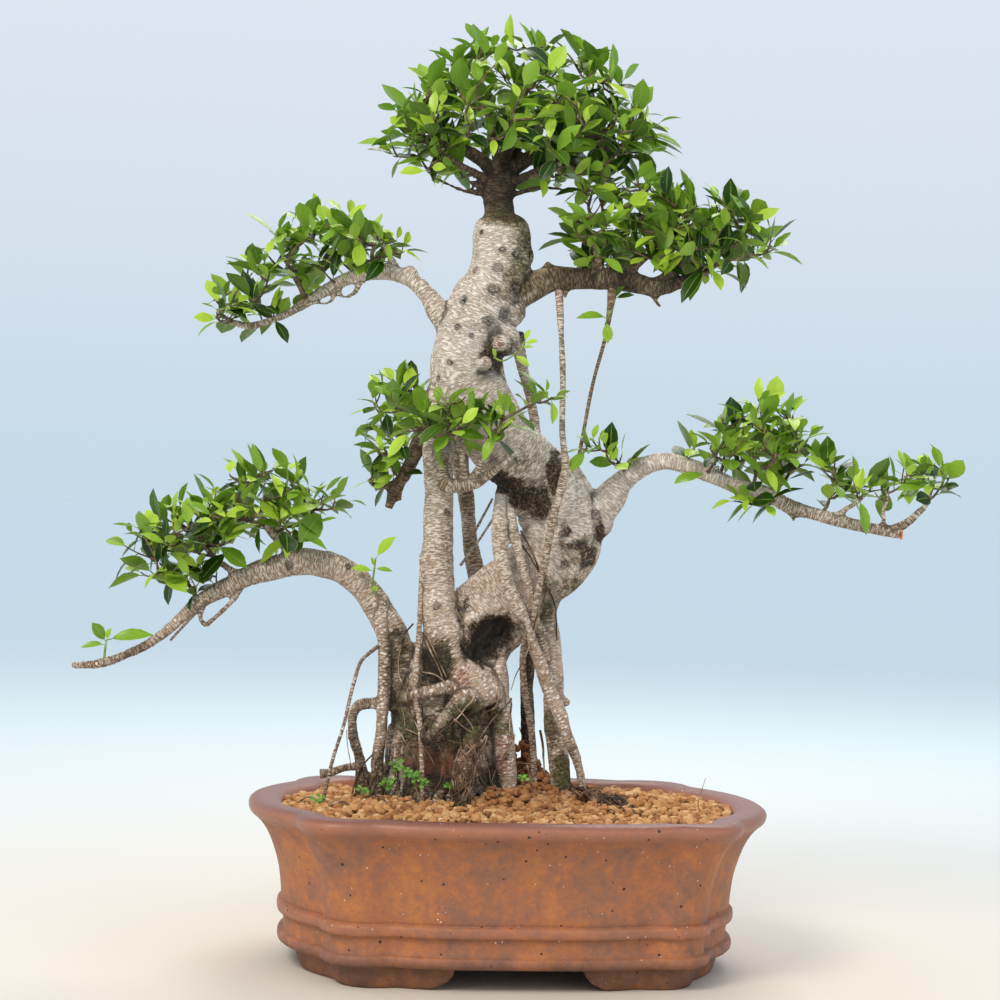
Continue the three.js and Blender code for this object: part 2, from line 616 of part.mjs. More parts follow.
const SPRAYS = {
  crown_top: {
    foot: [-3, 1, 724], at: [2, 0, 754], reach: [54, 58, 34],
    shoots: 5, leaves: 4, low: 0.1, size: 33, seed: 11,
  },
  crown_front: {
    foot: [-13, 3, 700], at: [-4, -46, 728], reach: [44, 30, 36],
    shoots: 3, leaves: 4, low: -0.2, size: 33, seed: 12,
  },
  crown_back: {
    foot: [-13, 3, 704], at: [-2, 46, 730], reach: [46, 32, 38],
    shoots: 2, leaves: 4, low: -0.2, size: 33, seed: 13,
  },
  crown_left: {
    foot: [-78, 6, 697], at: [-90, 4, 712], reach: [36, 52, 42],
    shoots: 4, leaves: 4, low: -0.5, size: 33, seed: 14,
  },
  crown_right: {
    foot: [60, -6, 700], at: [86, -6, 716], reach: [36, 52, 42],
    shoots: 4, leaves: 4, low: -0.5, size: 33, seed: 15,
  },
  upper_right_inner: {
    foot: [84, -6, 583], at: [56, -14, 616], reach: [34, 46, 24],
    shoots: 2, leaves: 4, low: 0, size: 31, seed: 21,
  },
  upper_right_middle: {
    foot: [113, -8, 575], at: [118, -10, 622], reach: [38, 54, 30],
    shoots: 3, leaves: 4, low: 0, size: 31, seed: 22,
  },
  upper_right_outer: {
    foot: [152, -10, 588], at: [180, -10, 606], reach: [32, 46, 30],
    shoots: 3, leaves: 4, low: -0.6, size: 31, seed: 23,
  },
  upper_left_inner: {
    foot: [-124, 7, 585], at: [-138, 8, 608], reach: [28, 34, 18],
    shoots: 1, leaves: 4, low: 0.1, size: 29, seed: 31,
  },
  upper_left_middle: {
    foot: [-166, 11, 569], at: [-180, 12, 594], reach: [30, 38, 26],
    shoots: 3, leaves: 4, low: -0.1, size: 29, seed: 32,
  },
  upper_left_outer: {
    foot: [-236, 16, 535], at: [-248, 16, 548], reach: [28, 34, 16],
    shoots: 3, leaves: 4, low: -0.5, size: 29, seed: 33,
  },
  lower_left_inner: {
    foot: [-186, -7, 335], at: [-180, -10, 370], reach: [38, 46, 30],
    shoots: 3, leaves: 4, low: -0.1, size: 32, seed: 41,
  },
  lower_left_middle: {
    foot: [-238, -12, 317], at: [-256, -14, 366], reach: [42, 50, 34],
    shoots: 4, leaves: 4, low: -0.2, size: 32, seed: 42,
  },
  lower_left_outer: {
    foot: [-270, -14, 294], at: [-306, -16, 334], reach: [30, 38, 20],
    shoots: 2, leaves: 4, low: -0.5, size: 32, seed: 43,
  },
  lower_left_tip: {
    foot: [-352, -20, 244], at: [-344, -22, 264], reach: [6, 6, 4],
    shoots: 1, leaves: 3, low: 0, size: 30, seed: 44,
  },
  back_upper: {
    foot: [-88, 46, 434], at: [-112, 46, 462], reach: [24, 34, 26],
    shoots: 2, leaves: 4, low: 0, size: 30, seed: 51,
  },
  back_lower: {
    foot: [-104, 58, 400], at: [-126, 62, 412], reach: [16, 30, 12],
    shoots: 1, leaves: 5, low: -0.2, size: 30, seed: 52,
  },
  front_left: {
    foot: [-62, -44, 406], at: [-74, -58, 438], reach: [20, 22, 18],
    shoots: 1, leaves: 5, low: 0.1, size: 29, seed: 61,
  },
  front_middle: {
    foot: [-36, -46, 405], at: [-26, -64, 440], reach: [30, 24, 28],
    shoots: 2, leaves: 4, low: -0.1, size: 29, seed: 62,
  },
  front_right: {
    foot: [-24, -45, 412], at: [16, -66, 432], reach: [16, 18, 16],
    shoots: 1, leaves: 5, low: -0.2, size: 29, seed: 63,
  },
  lower_right_inner: {
    foot: [164, -8, 417], at: [172, -10, 450], reach: [28, 40, 26],
    shoots: 3, leaves: 4, low: -0.2, size: 31, seed: 71,
  },
  lower_right_middle: {
    foot: [209, -10, 403], at: [218, -12, 436], reach: [32, 40, 32],
    shoots: 3, leaves: 4, low: -0.4, size: 31, seed: 72,
  },
  lower_right_outer: {
    foot: [262, -10, 386], at: [284, -10, 408], reach: [20, 24, 14],
    shoots: 1, leaves: 4, low: 0, size: 28, seed: 73,
  },
  lower_right_tip: {
    foot: [316, -10, 376], at: [346, -10, 408], reach: [22, 28, 16],
    shoots: 2, leaves: 4, low: -0.2, size: 31, seed: 74,
  },
  elbow_shoot: {
    foot: [56, -18, 414], at: [68, -34, 440], reach: [14, 12, 8],
    shoots: 1, leaves: 4, low: 0, size: 27, seed: 81,
  },
  limb_shoot: {
    foot: [92, -2, 411], at: [100, -12, 434], reach: [12, 10, 8],
    shoots: 1, leaves: 3, low: 0, size: 24, seed: 82,
  },
  bend_shoot: {
    foot: [-120, -2, 320], at: [-118, -8, 344], reach: [4, 4, 10],
    shoots: 1, leaves: 3, low: 0.6, size: 22, seed: 83,
  },
  burl_shoot: {
    foot: [-12, -16, 520], at: [6, -28, 526], reach: [12, 8, 8],
    shoots: 1, leaves: 3, low: 0, size: 18, seed: 84,
  },
};

// Substrate
// Burnt clay grains heaped round the tree, as one filled solid whose top is roughened like coarse gravel.
const GRAIN_PITCH = 19;
const GRAIN_RELIEF = 3;
const SOIL_EDGE = 131;
function soilHeight(x, y) {
  const mound = 21 * Math.exp(-((x / 150) ** 2) - (y / 80) ** 2);
  const heap = 24 * Math.exp(-(((x - 12) / 28) ** 2) - ((y - 24) / 28) ** 2);
  return 125 + mound + heap;
}

function soilRelief() {
  const random = randomSource(5);
  const [nx, ny] = [22, 16];
  const points = [];
  for (const top of [true, false]) {
    for (let j = 0; j <= ny; j++) {
      for (let i = 0; i <= nx; i++) {
        const x = (i - nx / 2 + 0.3 * (j % 2)) * GRAIN_PITCH;
        const y = (j - ny / 2) * GRAIN_PITCH;
        points.push([x, y, top ? soilHeight(x, y) + GRAIN_RELIEF * (2 * random() - 1) : 0]);
      }
    }
  }
  const row = nx + 1;
  const below = row * (ny + 1);
  const faces = [];
  for (let j = 0; j < ny; j++) {
    for (let i = 0; i < nx; i++) {
      const a = j * row + i;
      const c = a + below;
      faces.push([a, a + 1, a + row + 1], [a, a + row + 1, a + row]);
      faces.push([c, c + row + 1, c + 1], [c, c + row, c + row + 1]);
    }
  }
  const wall = (a, b) => faces.push([a, a + below, b + below], [a, b + below, b]);
  for (let i = 0; i < nx; i++) {
    wall(i, i + 1);
    wall(ny * row + i + 1, ny * row + i);
  }
  for (let j = 0; j < ny; j++) {
    wall(j * row + nx, (j + 1) * row + nx);
    wall((j + 1) * row, j * row);
  }
  return solidOf(geometryFrom(points, faces));
}

function makeSoil() {
  const [topInset, topZ] = INNER_WALL.top;
  const [lowInset, lowZ] = INNER_WALL.bottom;
  const wallInset = (z) => THREE.MathUtils.mapLinear(z, lowZ, topZ, lowInset, topInset) + CLEARANCE;
  const bed = solidOf(stackOfRings([
    planAt(INNER_PROFILE[1][0] + 1, FLOOR_TOP + CLEARANCE),
    planAt(lowInset + 1, lowZ + CLEARANCE),
    planAt(wallInset(SOIL_EDGE), SOIL_EDGE),
    planAt(wallInset(SOIL_EDGE), 200),
  ], [0, 0, FLOOR_TOP + CLEARANCE], [0, 0, 200]));
  return bed.intersect(soilRelief());
}

// Herbs
// Small clover-like seedlings at the foot of the trunk, each a tuft of round leaflets on one rooted stem.
const HERBS = {
  herb_front: { root: [-86, -58, 137], leaves: 3, reach: 15, seed: 3 },
  herb_left: { root: [-150, -62, 128], leaves: 2, reach: 7, seed: 4 },
};

function herbStem([x, y, z], height, grow = 0) {
  return limbGeometry([[x, y, z - 8, 1.6], [x, y, z + height, 1.4]], { sides: 4, grow });
}

function makeHerb({ root, leaves, reach, seed }) {
  const random = randomSource(seed);
  const top = vec(root).add(vec([0, 0, 7]));
  const solids = [solidOf(herbStem(root, 8))];
  for (let k = 0; k < leaves; k++) {
    const turn = k * GOLDEN_ANGLE;
    const tip = top.clone().add(vec([
      reach * (0.5 + 0.5 * random()) * Math.cos(turn), 0.6 * reach * Math.sin(turn) - 2, 3 + 9 * random(),
    ]));
    solids.push(solidOf(limbGeometry([[...top, 0.8], [...tip, 0.7]], { sides: 3 })));
    const disc = new THREE.CylinderGeometry(4.2, 4.2, 0.8, 5).rotateX(Math.PI / 2 - 0.5).translate(...tip);
    solids.push(solidOf(disc));
  }
  return mainBody(joined(solids));
}

// Assembly
const bonsai = new THREE.Group();
const container = new THREE.Group();
const tree = new THREE.Group();
tree.rotation.z = TREE_TURN;
bonsai.add(container, tree);

container.add(pieceOf("pot", makePot(), stoneware));

let soil = makeSoil().subtract(woodClearance(TREE_TURN));
for (const [name, side] of [["drain_net_left", -1], ["drain_net_right", 1]]) {
  container.add(pieceOf(name, makeNet(side * DRAIN.x, FLOOR_TOP + CLEARANCE), plasticNet));
  const room = new THREE.BoxGeometry(
    2 * (NET.half + CLEARANCE), 2 * (NET.half + CLEARANCE), 2 * (NET.thickness + 2 * CLEARANCE),
  ).translate(side * DRAIN.x, 0, FLOOR_TOP + CLEARANCE);
  soil = soil.subtract(solidOf(room));
}
for (const [name, sizes] of Object.entries(HERBS)) {
  container.add(pieceOf(name, makeHerb(sizes), herb));
  soil = soil.subtract(solidOf(herbStem(sizes.root, 8, CLEARANCE)));
}
container.add(pieceOf("soil", mainBody(soil), substrate));

const wood = mainBody(makeWood());
const clearance = woodClearance();
tree.add(pieceOf("wood", wood, bark));
const made = [];
for (const [name, sizes] of Object.entries(SPRAYS)) {
  const solid = makeSpray(sizes, made, clearance);
  made.push(solid);
  tree.add(pieceOf(name, solid, foliage));
}

bonsai.updateMatrixWorld(true);
const outline = new THREE.Box3().setFromObject(bonsai, true);
bonsai.position.set(-(outline.min.x + outline.max.x) / 2, -(outline.min.y + outline.max.y) / 2, 0);

export default bonsai;
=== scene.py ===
# %% [markdown]
# # A ficus bonsai in a lobed stoneware pot
# The tree is a ficus grown in the banyan style: one thick curved trunk, long side limbs, and aerial roots
# that drop from the limbs and stand in the pot like posts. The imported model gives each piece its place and
# size. This lesson dresses it: organic wood, bark, two thousand leaves, clay grains and a lobed pot.

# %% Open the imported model
import math
import random

import bmesh
import bpy
import numpy as np
from mathutils import Matrix, Vector, noise
from mathutils.bvhtree import BVHTree


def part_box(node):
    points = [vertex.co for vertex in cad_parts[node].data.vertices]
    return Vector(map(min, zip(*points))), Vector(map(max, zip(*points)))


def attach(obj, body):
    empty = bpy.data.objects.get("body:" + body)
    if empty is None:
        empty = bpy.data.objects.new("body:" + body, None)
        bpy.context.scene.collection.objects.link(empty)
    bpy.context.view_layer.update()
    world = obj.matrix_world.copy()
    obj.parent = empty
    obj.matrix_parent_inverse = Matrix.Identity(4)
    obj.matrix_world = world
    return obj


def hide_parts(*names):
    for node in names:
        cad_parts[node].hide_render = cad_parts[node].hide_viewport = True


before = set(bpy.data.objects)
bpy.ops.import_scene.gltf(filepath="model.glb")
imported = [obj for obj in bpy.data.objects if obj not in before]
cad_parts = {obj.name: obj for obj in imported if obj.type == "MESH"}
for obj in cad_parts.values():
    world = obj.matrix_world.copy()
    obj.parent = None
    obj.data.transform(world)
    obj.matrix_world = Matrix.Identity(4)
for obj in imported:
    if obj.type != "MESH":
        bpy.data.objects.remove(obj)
noise.seed_set(1)  # without it, noise vectors start from the clock
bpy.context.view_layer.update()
scene = bpy.context.scene

# %% [markdown]
# ## One place for everything
# The wood is measured as it is seen from the tree's best side: x to the right, y away from the eye, z up,
# in millimetres. Two matrices carry such points into the model: one for the pot, which lies along x, and
# one for the tree, which stands a few degrees turned in it. A finished mesh is moved once, by its matrix,
# and its object stays at the origin.

# %% Matrices from millimetres to the model
MM = 0.001
TREE_TURN = math.radians(-5.6)
pot_low, pot_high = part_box("pot")
pot_middle = (pot_low + pot_high) / 2
POT_PLACE = Matrix.Translation((pot_middle.x, pot_middle.y, 0)) @ Matrix.Scale(MM, 4)
TREE_PLACE = POT_PLACE @ Matrix.Rotation(TREE_TURN, 4, "Z")
print("pot middle", tuple(round(v, 4) for v in pot_middle))

# %% [markdown]
# ## The camera first
# The picture was taken from about two metres, level, a little above the pot's rim, with a long lens, and
# the camera leaned a degree and a half to one side. It is set before anything is modelled, because every
# shape below is judged through it.

# %% Camera
CAMERA_SPOT = Vector((-13.6, -2000, 391))
CAMERA_ROLL = math.radians(1.6)
LENS = 84.7  # mm, on a 36 mm wide film
camera_data = bpy.data.cameras.new("camera")
camera_data.lens = LENS
camera_data.sensor_width = 36
camera = bpy.data.objects.new("camera", camera_data)
scene.collection.objects.link(camera)
camera.matrix_world = (
    Matrix.Translation(TREE_PLACE @ CAMERA_SPOT)
    @ Matrix.Rotation(TREE_TURN, 4, "Z")
    @ Matrix.Rotation(math.radians(90), 4, "X")
    @ Matrix.Rotation(CAMERA_ROLL, 4, "Z")
)
scene.camera = camera
print("camera at", tuple(round(v, 3) for v in camera.matrix_world.translation))

# %% [markdown]
# ## Small helpers
# Colours are picked as sRGB hex values, as a paint chart gives them, and one function makes them linear.
# A material is a small class with one short method for each kind of shader node, so that the finishes below
# read as recipes. One more function turns a mesh into a finished piece that rides on the model.

# %% Colours and shader nodes
def paint(colour):
    """Linear colour of an sRGB hex code or of a linear grey level. Anything else is given back as it is."""
    if isinstance(colour, str):
        values = [int(colour[i:i + 2], 16) / 255 for i in (1, 3, 5)]
        return (*(v / 12.92 if v <= 0.04045 else ((v + 0.055) / 1.055) ** 2.4 for v in values), 1.0)
    return (colour, colour, colour, 1.0) if isinstance(colour, float) else colour


class Nodes:
    """A node tree, built one short call at a time."""

    def __init__(self, tree):
        self.tree = tree

    def feed(self, socket, value):
        if isinstance(value, bpy.types.NodeSocket):
            self.tree.links.new(value, socket)
        else:
            socket.default_value = value

    def add(self, kind, inputs=None, **settings):
        """Adds a node with its settings, fills or links its inputs, and gives its outputs."""
        node = self.tree.nodes.new("ShaderNode" + kind)
        for key, value in settings.items():
            setattr(node, key, value)
        for socket, value in (inputs or {}).items():
            self.feed(node.inputs[socket], value)
        return node.outputs

    def place(self):
        return self.add("TexCoord")["Object"]

    def read(self, name):
        return self.add("Attribute", attribute_name=name)

    def channels(self, colour):
        return self.add("SeparateColor", {"Color": colour})

    def axes(self, vector):
        return self.add("SeparateXYZ", {"Vector": vector})

    def stretched(self, vector, scale):
        return self.add("Mapping", {"Vector": vector, "Scale": scale})[0]

    def noise(self, where, scale, detail=2.0, roughness=0.5, distortion=0.0):
        return self.add("TexNoise", {"Vector": where, "Scale": scale, "Detail": detail, "Roughness": roughness,
                                     "Distortion": distortion})[0]

    def cells(self, where, scale):
        """Distance to the nearest of randomly set points, and that point's own random colour."""
        return self.add("TexVoronoi", {"Vector": where, "Scale": scale, "Randomness": 1.0})

    def span(self, value, start=0.0, end=1.0, first=0.0, last=1.0):
        """Runs from first to last, and no further, while the value runs from start to end."""
        return self.add("MapRange", {"Value": value, "From Min": start, "From Max": end, "To Min": first,
                                     "To Max": last})[0]

    def math(self, operation, *values):
        return self.add("Math", dict(enumerate(values)), operation=operation)[0]

    def times(self, a, b, plus=None):
        return self.math("MULTIPLY", a, b) if plus is None else self.math("MULTIPLY_ADD", a, b, plus)

    def between(self, share, a, b):
        return self.add("Mix", {0: share, 2: a, 3: b})[0]

    def mix(self, share, a, b, blend="MIX"):
        inputs = {0: share, 6: paint(a), 7: paint(b)}
        return self.add("Mix", inputs, data_type="RGBA", blend_type=blend)[2]

    def darken(self, share, a, b):
        return self.mix(share, a, b, "MULTIPLY")

    def ramp(self, value, *stops):
        """A colour for each value, from (position, colour) stops."""
        colour = self.add("ValToRGB", {"Fac": value})[0]
        elements = colour.node.color_ramp.elements
        elements.remove(elements[1])
        elements[0].position, elements[0].color = stops[0][0], paint(stops[0][1])
        for position, tone in stops[1:]:
            elements.new(position).color = paint(tone)
        return colour


print("mid grey is", round(paint("#808080")[0], 3), "in linear light")


# %% Materials and finished pieces
class Finish(Nodes):
    """A material, with the nodes that feed its shader."""

    def __init__(self, name, **settings):
        self.material = bpy.data.materials.new(name)
        self.material.use_nodes = True
        super().__init__(self.material.node_tree)
        self.shader = self.tree.nodes["Principled BSDF"]
        for socket, value in settings.items():
            self.wire(socket.replace("_", " "), value)

    def wire(self, socket, value):
        self.feed(self.shader.inputs[socket], value)

    def bump(self, height, strength, distance, invert=False):
        """Raises the surface by the height pattern, as far as the distance in metres."""
        inputs = {"Height": height, "Strength": strength, "Distance": distance}
        self.wire("Normal", self.add("Bump", inputs, invert=invert)[0])


def smooth_shaded(mesh):
    mesh.polygons.foreach_set("use_smooth", np.ones(len(mesh.polygons), bool))
    mesh.update()
    return mesh


def as_mesh(shape, name):
    mesh = bpy.data.meshes.new(name)
    shape.to_mesh(mesh)
    shape.free()
    return mesh


def finish_piece(name, mesh, place, material, replaces=()):
    """Puts a mesh in its place in the model, dresses it and lets it ride on the one body."""
    mesh.transform(place)
    mesh.name = name
    mesh.materials.clear()
    mesh.materials.append(material)
    piece = bpy.data.objects.new(name, mesh)
    scene.collection.objects.link(piece)
    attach(piece, "root")
    if replaces:
        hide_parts(*replaces)
    print(name, sum(len(p.vertices) - 2 for p in mesh.polygons), "triangles")


def dress_solid(node, material):
    """Gives a solid that is shown as it is packed its finish."""
    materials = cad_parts[node].data.materials
    materials.clear()
    materials.append(material)

# %% [markdown]
# ## The routes of the wood
# Every limb and root is a tapering tube along a route of (x, y, z, radius) points in millimetres. These are
# the model's own routes, so the dressed wood stays where its solid is. A few short stubs, cut twigs and
# old knots are added, because a smooth limb without them looks turned on a lathe.

# %% Routes of limbs and roots
LIMBS = {
    "trunk": [
        (-57, 5, 100, 56), (-56, 5, 143, 53), (-57, 5, 181, 47), (-55, 5, 219, 42), (-42, 5, 262, 39),
        (-14, 5, 299, 36), (16, 6, 326, 32), (39, 8, 358, 35.5), (39, 8, 387, 32), (17, 5, 414, 29),
        (-13, 2, 439, 30.5), (-38, 0, 472, 33), (-48, 0, 499, 30), (-41, 0, 530, 31.5), (-32.5, 0, 554, 29.5),
        (-22, 0, 578, 25.5), (-18, 0, 603, 26), (-18, 0, 617, 26), (-18, 0, 627, 22.5), (-18, 0, 633, 15),
    ],
    "crown_stem": [
        (-18, 0, 610, 19), (-21, 0, 634, 13), (-23, 0, 648, 13), (-22, 0, 660, 14.5), (-22, 0, 674, 11),
    ],
    "pillar": [
        (-62, -6, 491, 14), (-66, -12, 449, 13), (-66, -14, 406, 13), (-65, -14, 356, 13),
        (-64, -14, 314, 15), (-56, -18, 272, 20), (-36, -24, 239, 22), (-21, -22, 218, 17),
    ],
    "knee": [
        (-31, -30, 231, 14), (-42, -40, 221, 8.5), (-51, -47, 212, 6.4), (-62, -51, 200, 5), (-70, -52, 190, 4),
    ],
    "left_limb": [
        (-89, 0, 212, 19), (-94, 0, 240, 16), (-98, 0, 262, 14.5), (-106, 0, 283, 13.5), (-116, 0, 299, 13),
        (-126, 0, 313, 12), (-139, -2, 323, 12), (-157, -4, 331.5, 12), (-178, -6, 334, 12), (-199, -8, 329.5, 11),
        (-220, -10, 323, 9.5), (-241, -12, 312, 8), (-262, -14, 300, 7), (-278, -15, 286, 5.5),
        (-297, -16, 268, 4.5), (-325, -18, 252, 4), (-348, -20, 244, 4), (-370, -22, 242, 3),
    ],
    "prop_root": [
        (-112, -4, 306, 8.5), (-111, -10, 283, 6), (-108, -14, 262, 5.5), (-107, -16, 228, 5.5),
        (-108, -18, 198, 5.5), (-110, -18, 176, 5.5), (-110, -18, 120, 6),
    ],
    "upper_left_limb": [
        (-55, 0, 530, 13), (-72, 0, 553, 9.5), (-81, 2, 564, 7.5), (-94, 4, 576, 7), (-111, 6, 582, 7),
        (-131, 8, 582, 7), (-153, 10, 574.5, 6), (-174, 12, 562, 5.5), (-194, 14, 549, 4),
        (-210, 15, 541, 3.5), (-233, 16, 534, 3.5), (-250, 17, 538, 2.5),
    ],
    "upper_right_limb": [
        (-8, 0, 566, 16), (24, 0, 579, 11), (44, -2, 581, 9.5), (64, -4, 581, 9), (90, -6, 579, 9),
        (113, -8, 574, 7.5), (130, -9, 578, 6), (146, -10, 585, 4), (163, -10, 597, 3),
    ],
    "lower_right_limb": [
        (60, 4, 372, 18), (78, 2, 394, 13.5), (90, 0, 409, 10), (109, -2, 424, 8.5), (126, -4, 428, 7.5),
        (146, -6, 424, 7.5), (164, -8, 417, 7), (185, -9, 409, 7), (209, -10, 403, 7),
        (231, -10, 393, 6.5), (252, -10, 387, 6), (274, -10, 381, 5.5), (298, -10, 376, 5.2),
        (326, -10, 372, 5),
    ],
    "back_limb": [
        (-66, 8, 486, 12), (-78, 34, 458, 8.5), (-87, 46, 434, 7.5), (-96, 54, 413, 6.5),
        (-106, 60, 397, 5.5), (-111, 64, 381, 4),
    ],
    "front_knob": [
        (-63, -24, 436, 7.5), (-63, -40, 415, 6.5), (-60, -44, 403, 6.5), (-49, -46, 402, 6),
        (-33, -46, 405, 5), (-21, -44, 414, 4),
    ],
    "crown_limb_1": [
        (-22, 0, 664, 7), (-16, 4, 692, 5.4), (-6, 2, 716, 4.2), (0, 0, 730, 3.2),
    ],
    "crown_limb_2": [
        (-22, 0, 664, 7.5), (-40, 4, 682, 6), (-62, 6, 692, 4.6), (-84, 6, 698, 3.2),
    ],
    "crown_limb_3": [
        (-20, 0, 664, 7.5), (4, -4, 682, 6), (36, -6, 694, 4.6), (66, -6, 702, 3.2),
    ],
    "crown_limb_4": [(-21, -4, 660, 5.5), (-26, -20, 682, 4), (-30, -40, 700, 3)],
    "crown_limb_5": [(-20, 4, 660, 6), (-10, 22, 684, 4.4), (-2, 44, 704, 3.2)],
    "crown_limb_6": [(-22, -2, 658, 5), (-46, -14, 668, 3.6), (-70, -24, 680, 2.6)],
    "crown_limb_7": [(-19, -2, 658, 5), (8, -18, 668, 3.6), (34, -30, 682, 2.6)],
}
ROOTS = {
    "right": [
        (32, 0, 329, 14), (27, 0, 294, 9.5), (31, 0, 277, 9.5), (34, 0, 256, 10), (36, 0, 233, 9.5),
        (36, 2, 212, 8), (37, 4, 192, 7.5), (43, 2, 169, 9.5), (47, 0, 112, 11),
    ],
    "centre": [
        (-19, -6, 272, 12), (-12, -12, 249, 9.5), (-9, -16, 222, 9), (-5, -18, 196, 8.8), (-3, -18, 171, 8.4),
        (-1, -18, 150, 8), (1, -16, 112, 9),
    ],
    "long_diagonal": [
        (-12, -14, 400, 6), (-14, -30, 376, 6.5), (-13, -37, 354, 7), (-10, -41, 337, 7),
        (-4, -43, 316, 6.6), (7, -41, 295, 6), (15, -36, 275, 5.6), (24, -30, 255, 6),
        (33, -24, 231, 6.5), (42, -22, 211, 6.5), (49, -20, 193, 5.5), (57, -18, 174, 4.5),
        (62, -18, 157, 4), (66, -18, 118, 4),
    ],
    "short_diagonal": [
        (-8, -16, 398, 4.5), (-2, -33, 370, 4.4), (4, -39, 346, 4.4), (11, -39, 325, 4.2),
        (16, -34, 304, 4.2), (22, -24, 280, 5), (30, -14, 256, 4),
    ],
    "thin_long": [
        (31, 0, 578, 4), (34, -8, 536, 2.5), (36.5, -18, 493, 2.5), (37, -30, 449, 2.5), (40, -38, 423, 3),
        (38, -40, 407, 3.5), (33, -43, 385, 3.5), (27, -42, 353, 3.5), (22, -40, 325, 3),
        (17, -36, 296, 2.5), (10, -24, 266, 3), (11, -14, 234, 3), (16, -8, 211, 3), (20, -4, 184, 3),
        (24, -4, 118, 3),
    ],
    "thin_slant": [
        (77, -4, 575, 5), (75.5, -8, 559, 4), (72, -10, 533, 2), (62.5, -8, 493, 2), (54.5, -4, 444, 2),
        (49, -2, 408, 2.5),
    ],
    "thin_front": [
        (-78, -6, 340, 2.5), (-78, -24, 300, 2.5), (-79, -34, 254, 2.5), (-80, -42, 226, 2.5),
        (-75, -48, 205, 2.5), (-70, -50, 128, 2),
    ],
    "thin_left": [
        (-106, -14, 270, 2.5), (-119, -22, 260, 1.8), (-126, -26, 253, 1.8), (-132, -30, 233, 1.8),
        (-139, -34, 199, 1.8), (-147, -36, 171, 1.8), (-157, -36, 122, 1.8),
    ],
    "hook": [
        (-104, -12, 217, 5), (-120, -14, 216, 5), (-129, -14, 214, 4.8), (-133, -14, 206, 4.5),
        (-132, -14, 190, 4.5), (-127, -14, 173, 4.5), (-124, -14, 156, 6), (-121, -14, 116, 7),
    ],
    "hook_stub": [
        (-121, -14, 164, 4), (-138, -18, 162, 3), (-150, -22, 158, 3.5), (-158, -24, 157, 4.2),
    ],
    "cross": [
        (-92, -18, 222, 6), (-82, -40, 226, 5), (-67, -46, 231, 5), (-46, -38, 235, 6),
    ],
    "front_foot": [
        (-27, -36, 198, 8), (-34, -50, 184, 6), (-37, -58, 172, 7.6), (-38, -61, 158, 7.4), (-39, -62, 142, 6.2),
        (-39, -62, 118, 6),
    ],
    "back_pillar": [
        (-50, 14, 452, 10), (-48, 32, 420, 7.5), (-42, 36, 385, 7), (-38, 36, 350, 7),
        (-31, 32, 322, 8.5), (-25, 22, 300, 11),
    ],
    "burl_outer": [
        (-4, 4, 532, 7.5), (2, 16, 507, 5), (8, 20, 486, 4.5), (14, 18, 460, 4.5), (17, 10, 436, 5),
    ],
    "burl_inner": [
        (-22, -4, 522, 6), (-17, -2, 499, 4.5), (-10, 0, 475, 4.5), (-4, 0, 446, 5),
    ],
    "back_right": [
        (24, 20, 326, 10), (18, 36, 278, 6.5), (14, 40, 230, 6), (16, 42, 191, 6.5), (20, 42, 112, 8),
    ],
    "back_centre": [
        (-20, 12, 322, 9), (-30, 33, 296, 11), (-29, 50, 250, 10.5), (-32, 60, 198, 11), (-36, 64, 112, 12),
    ],
}
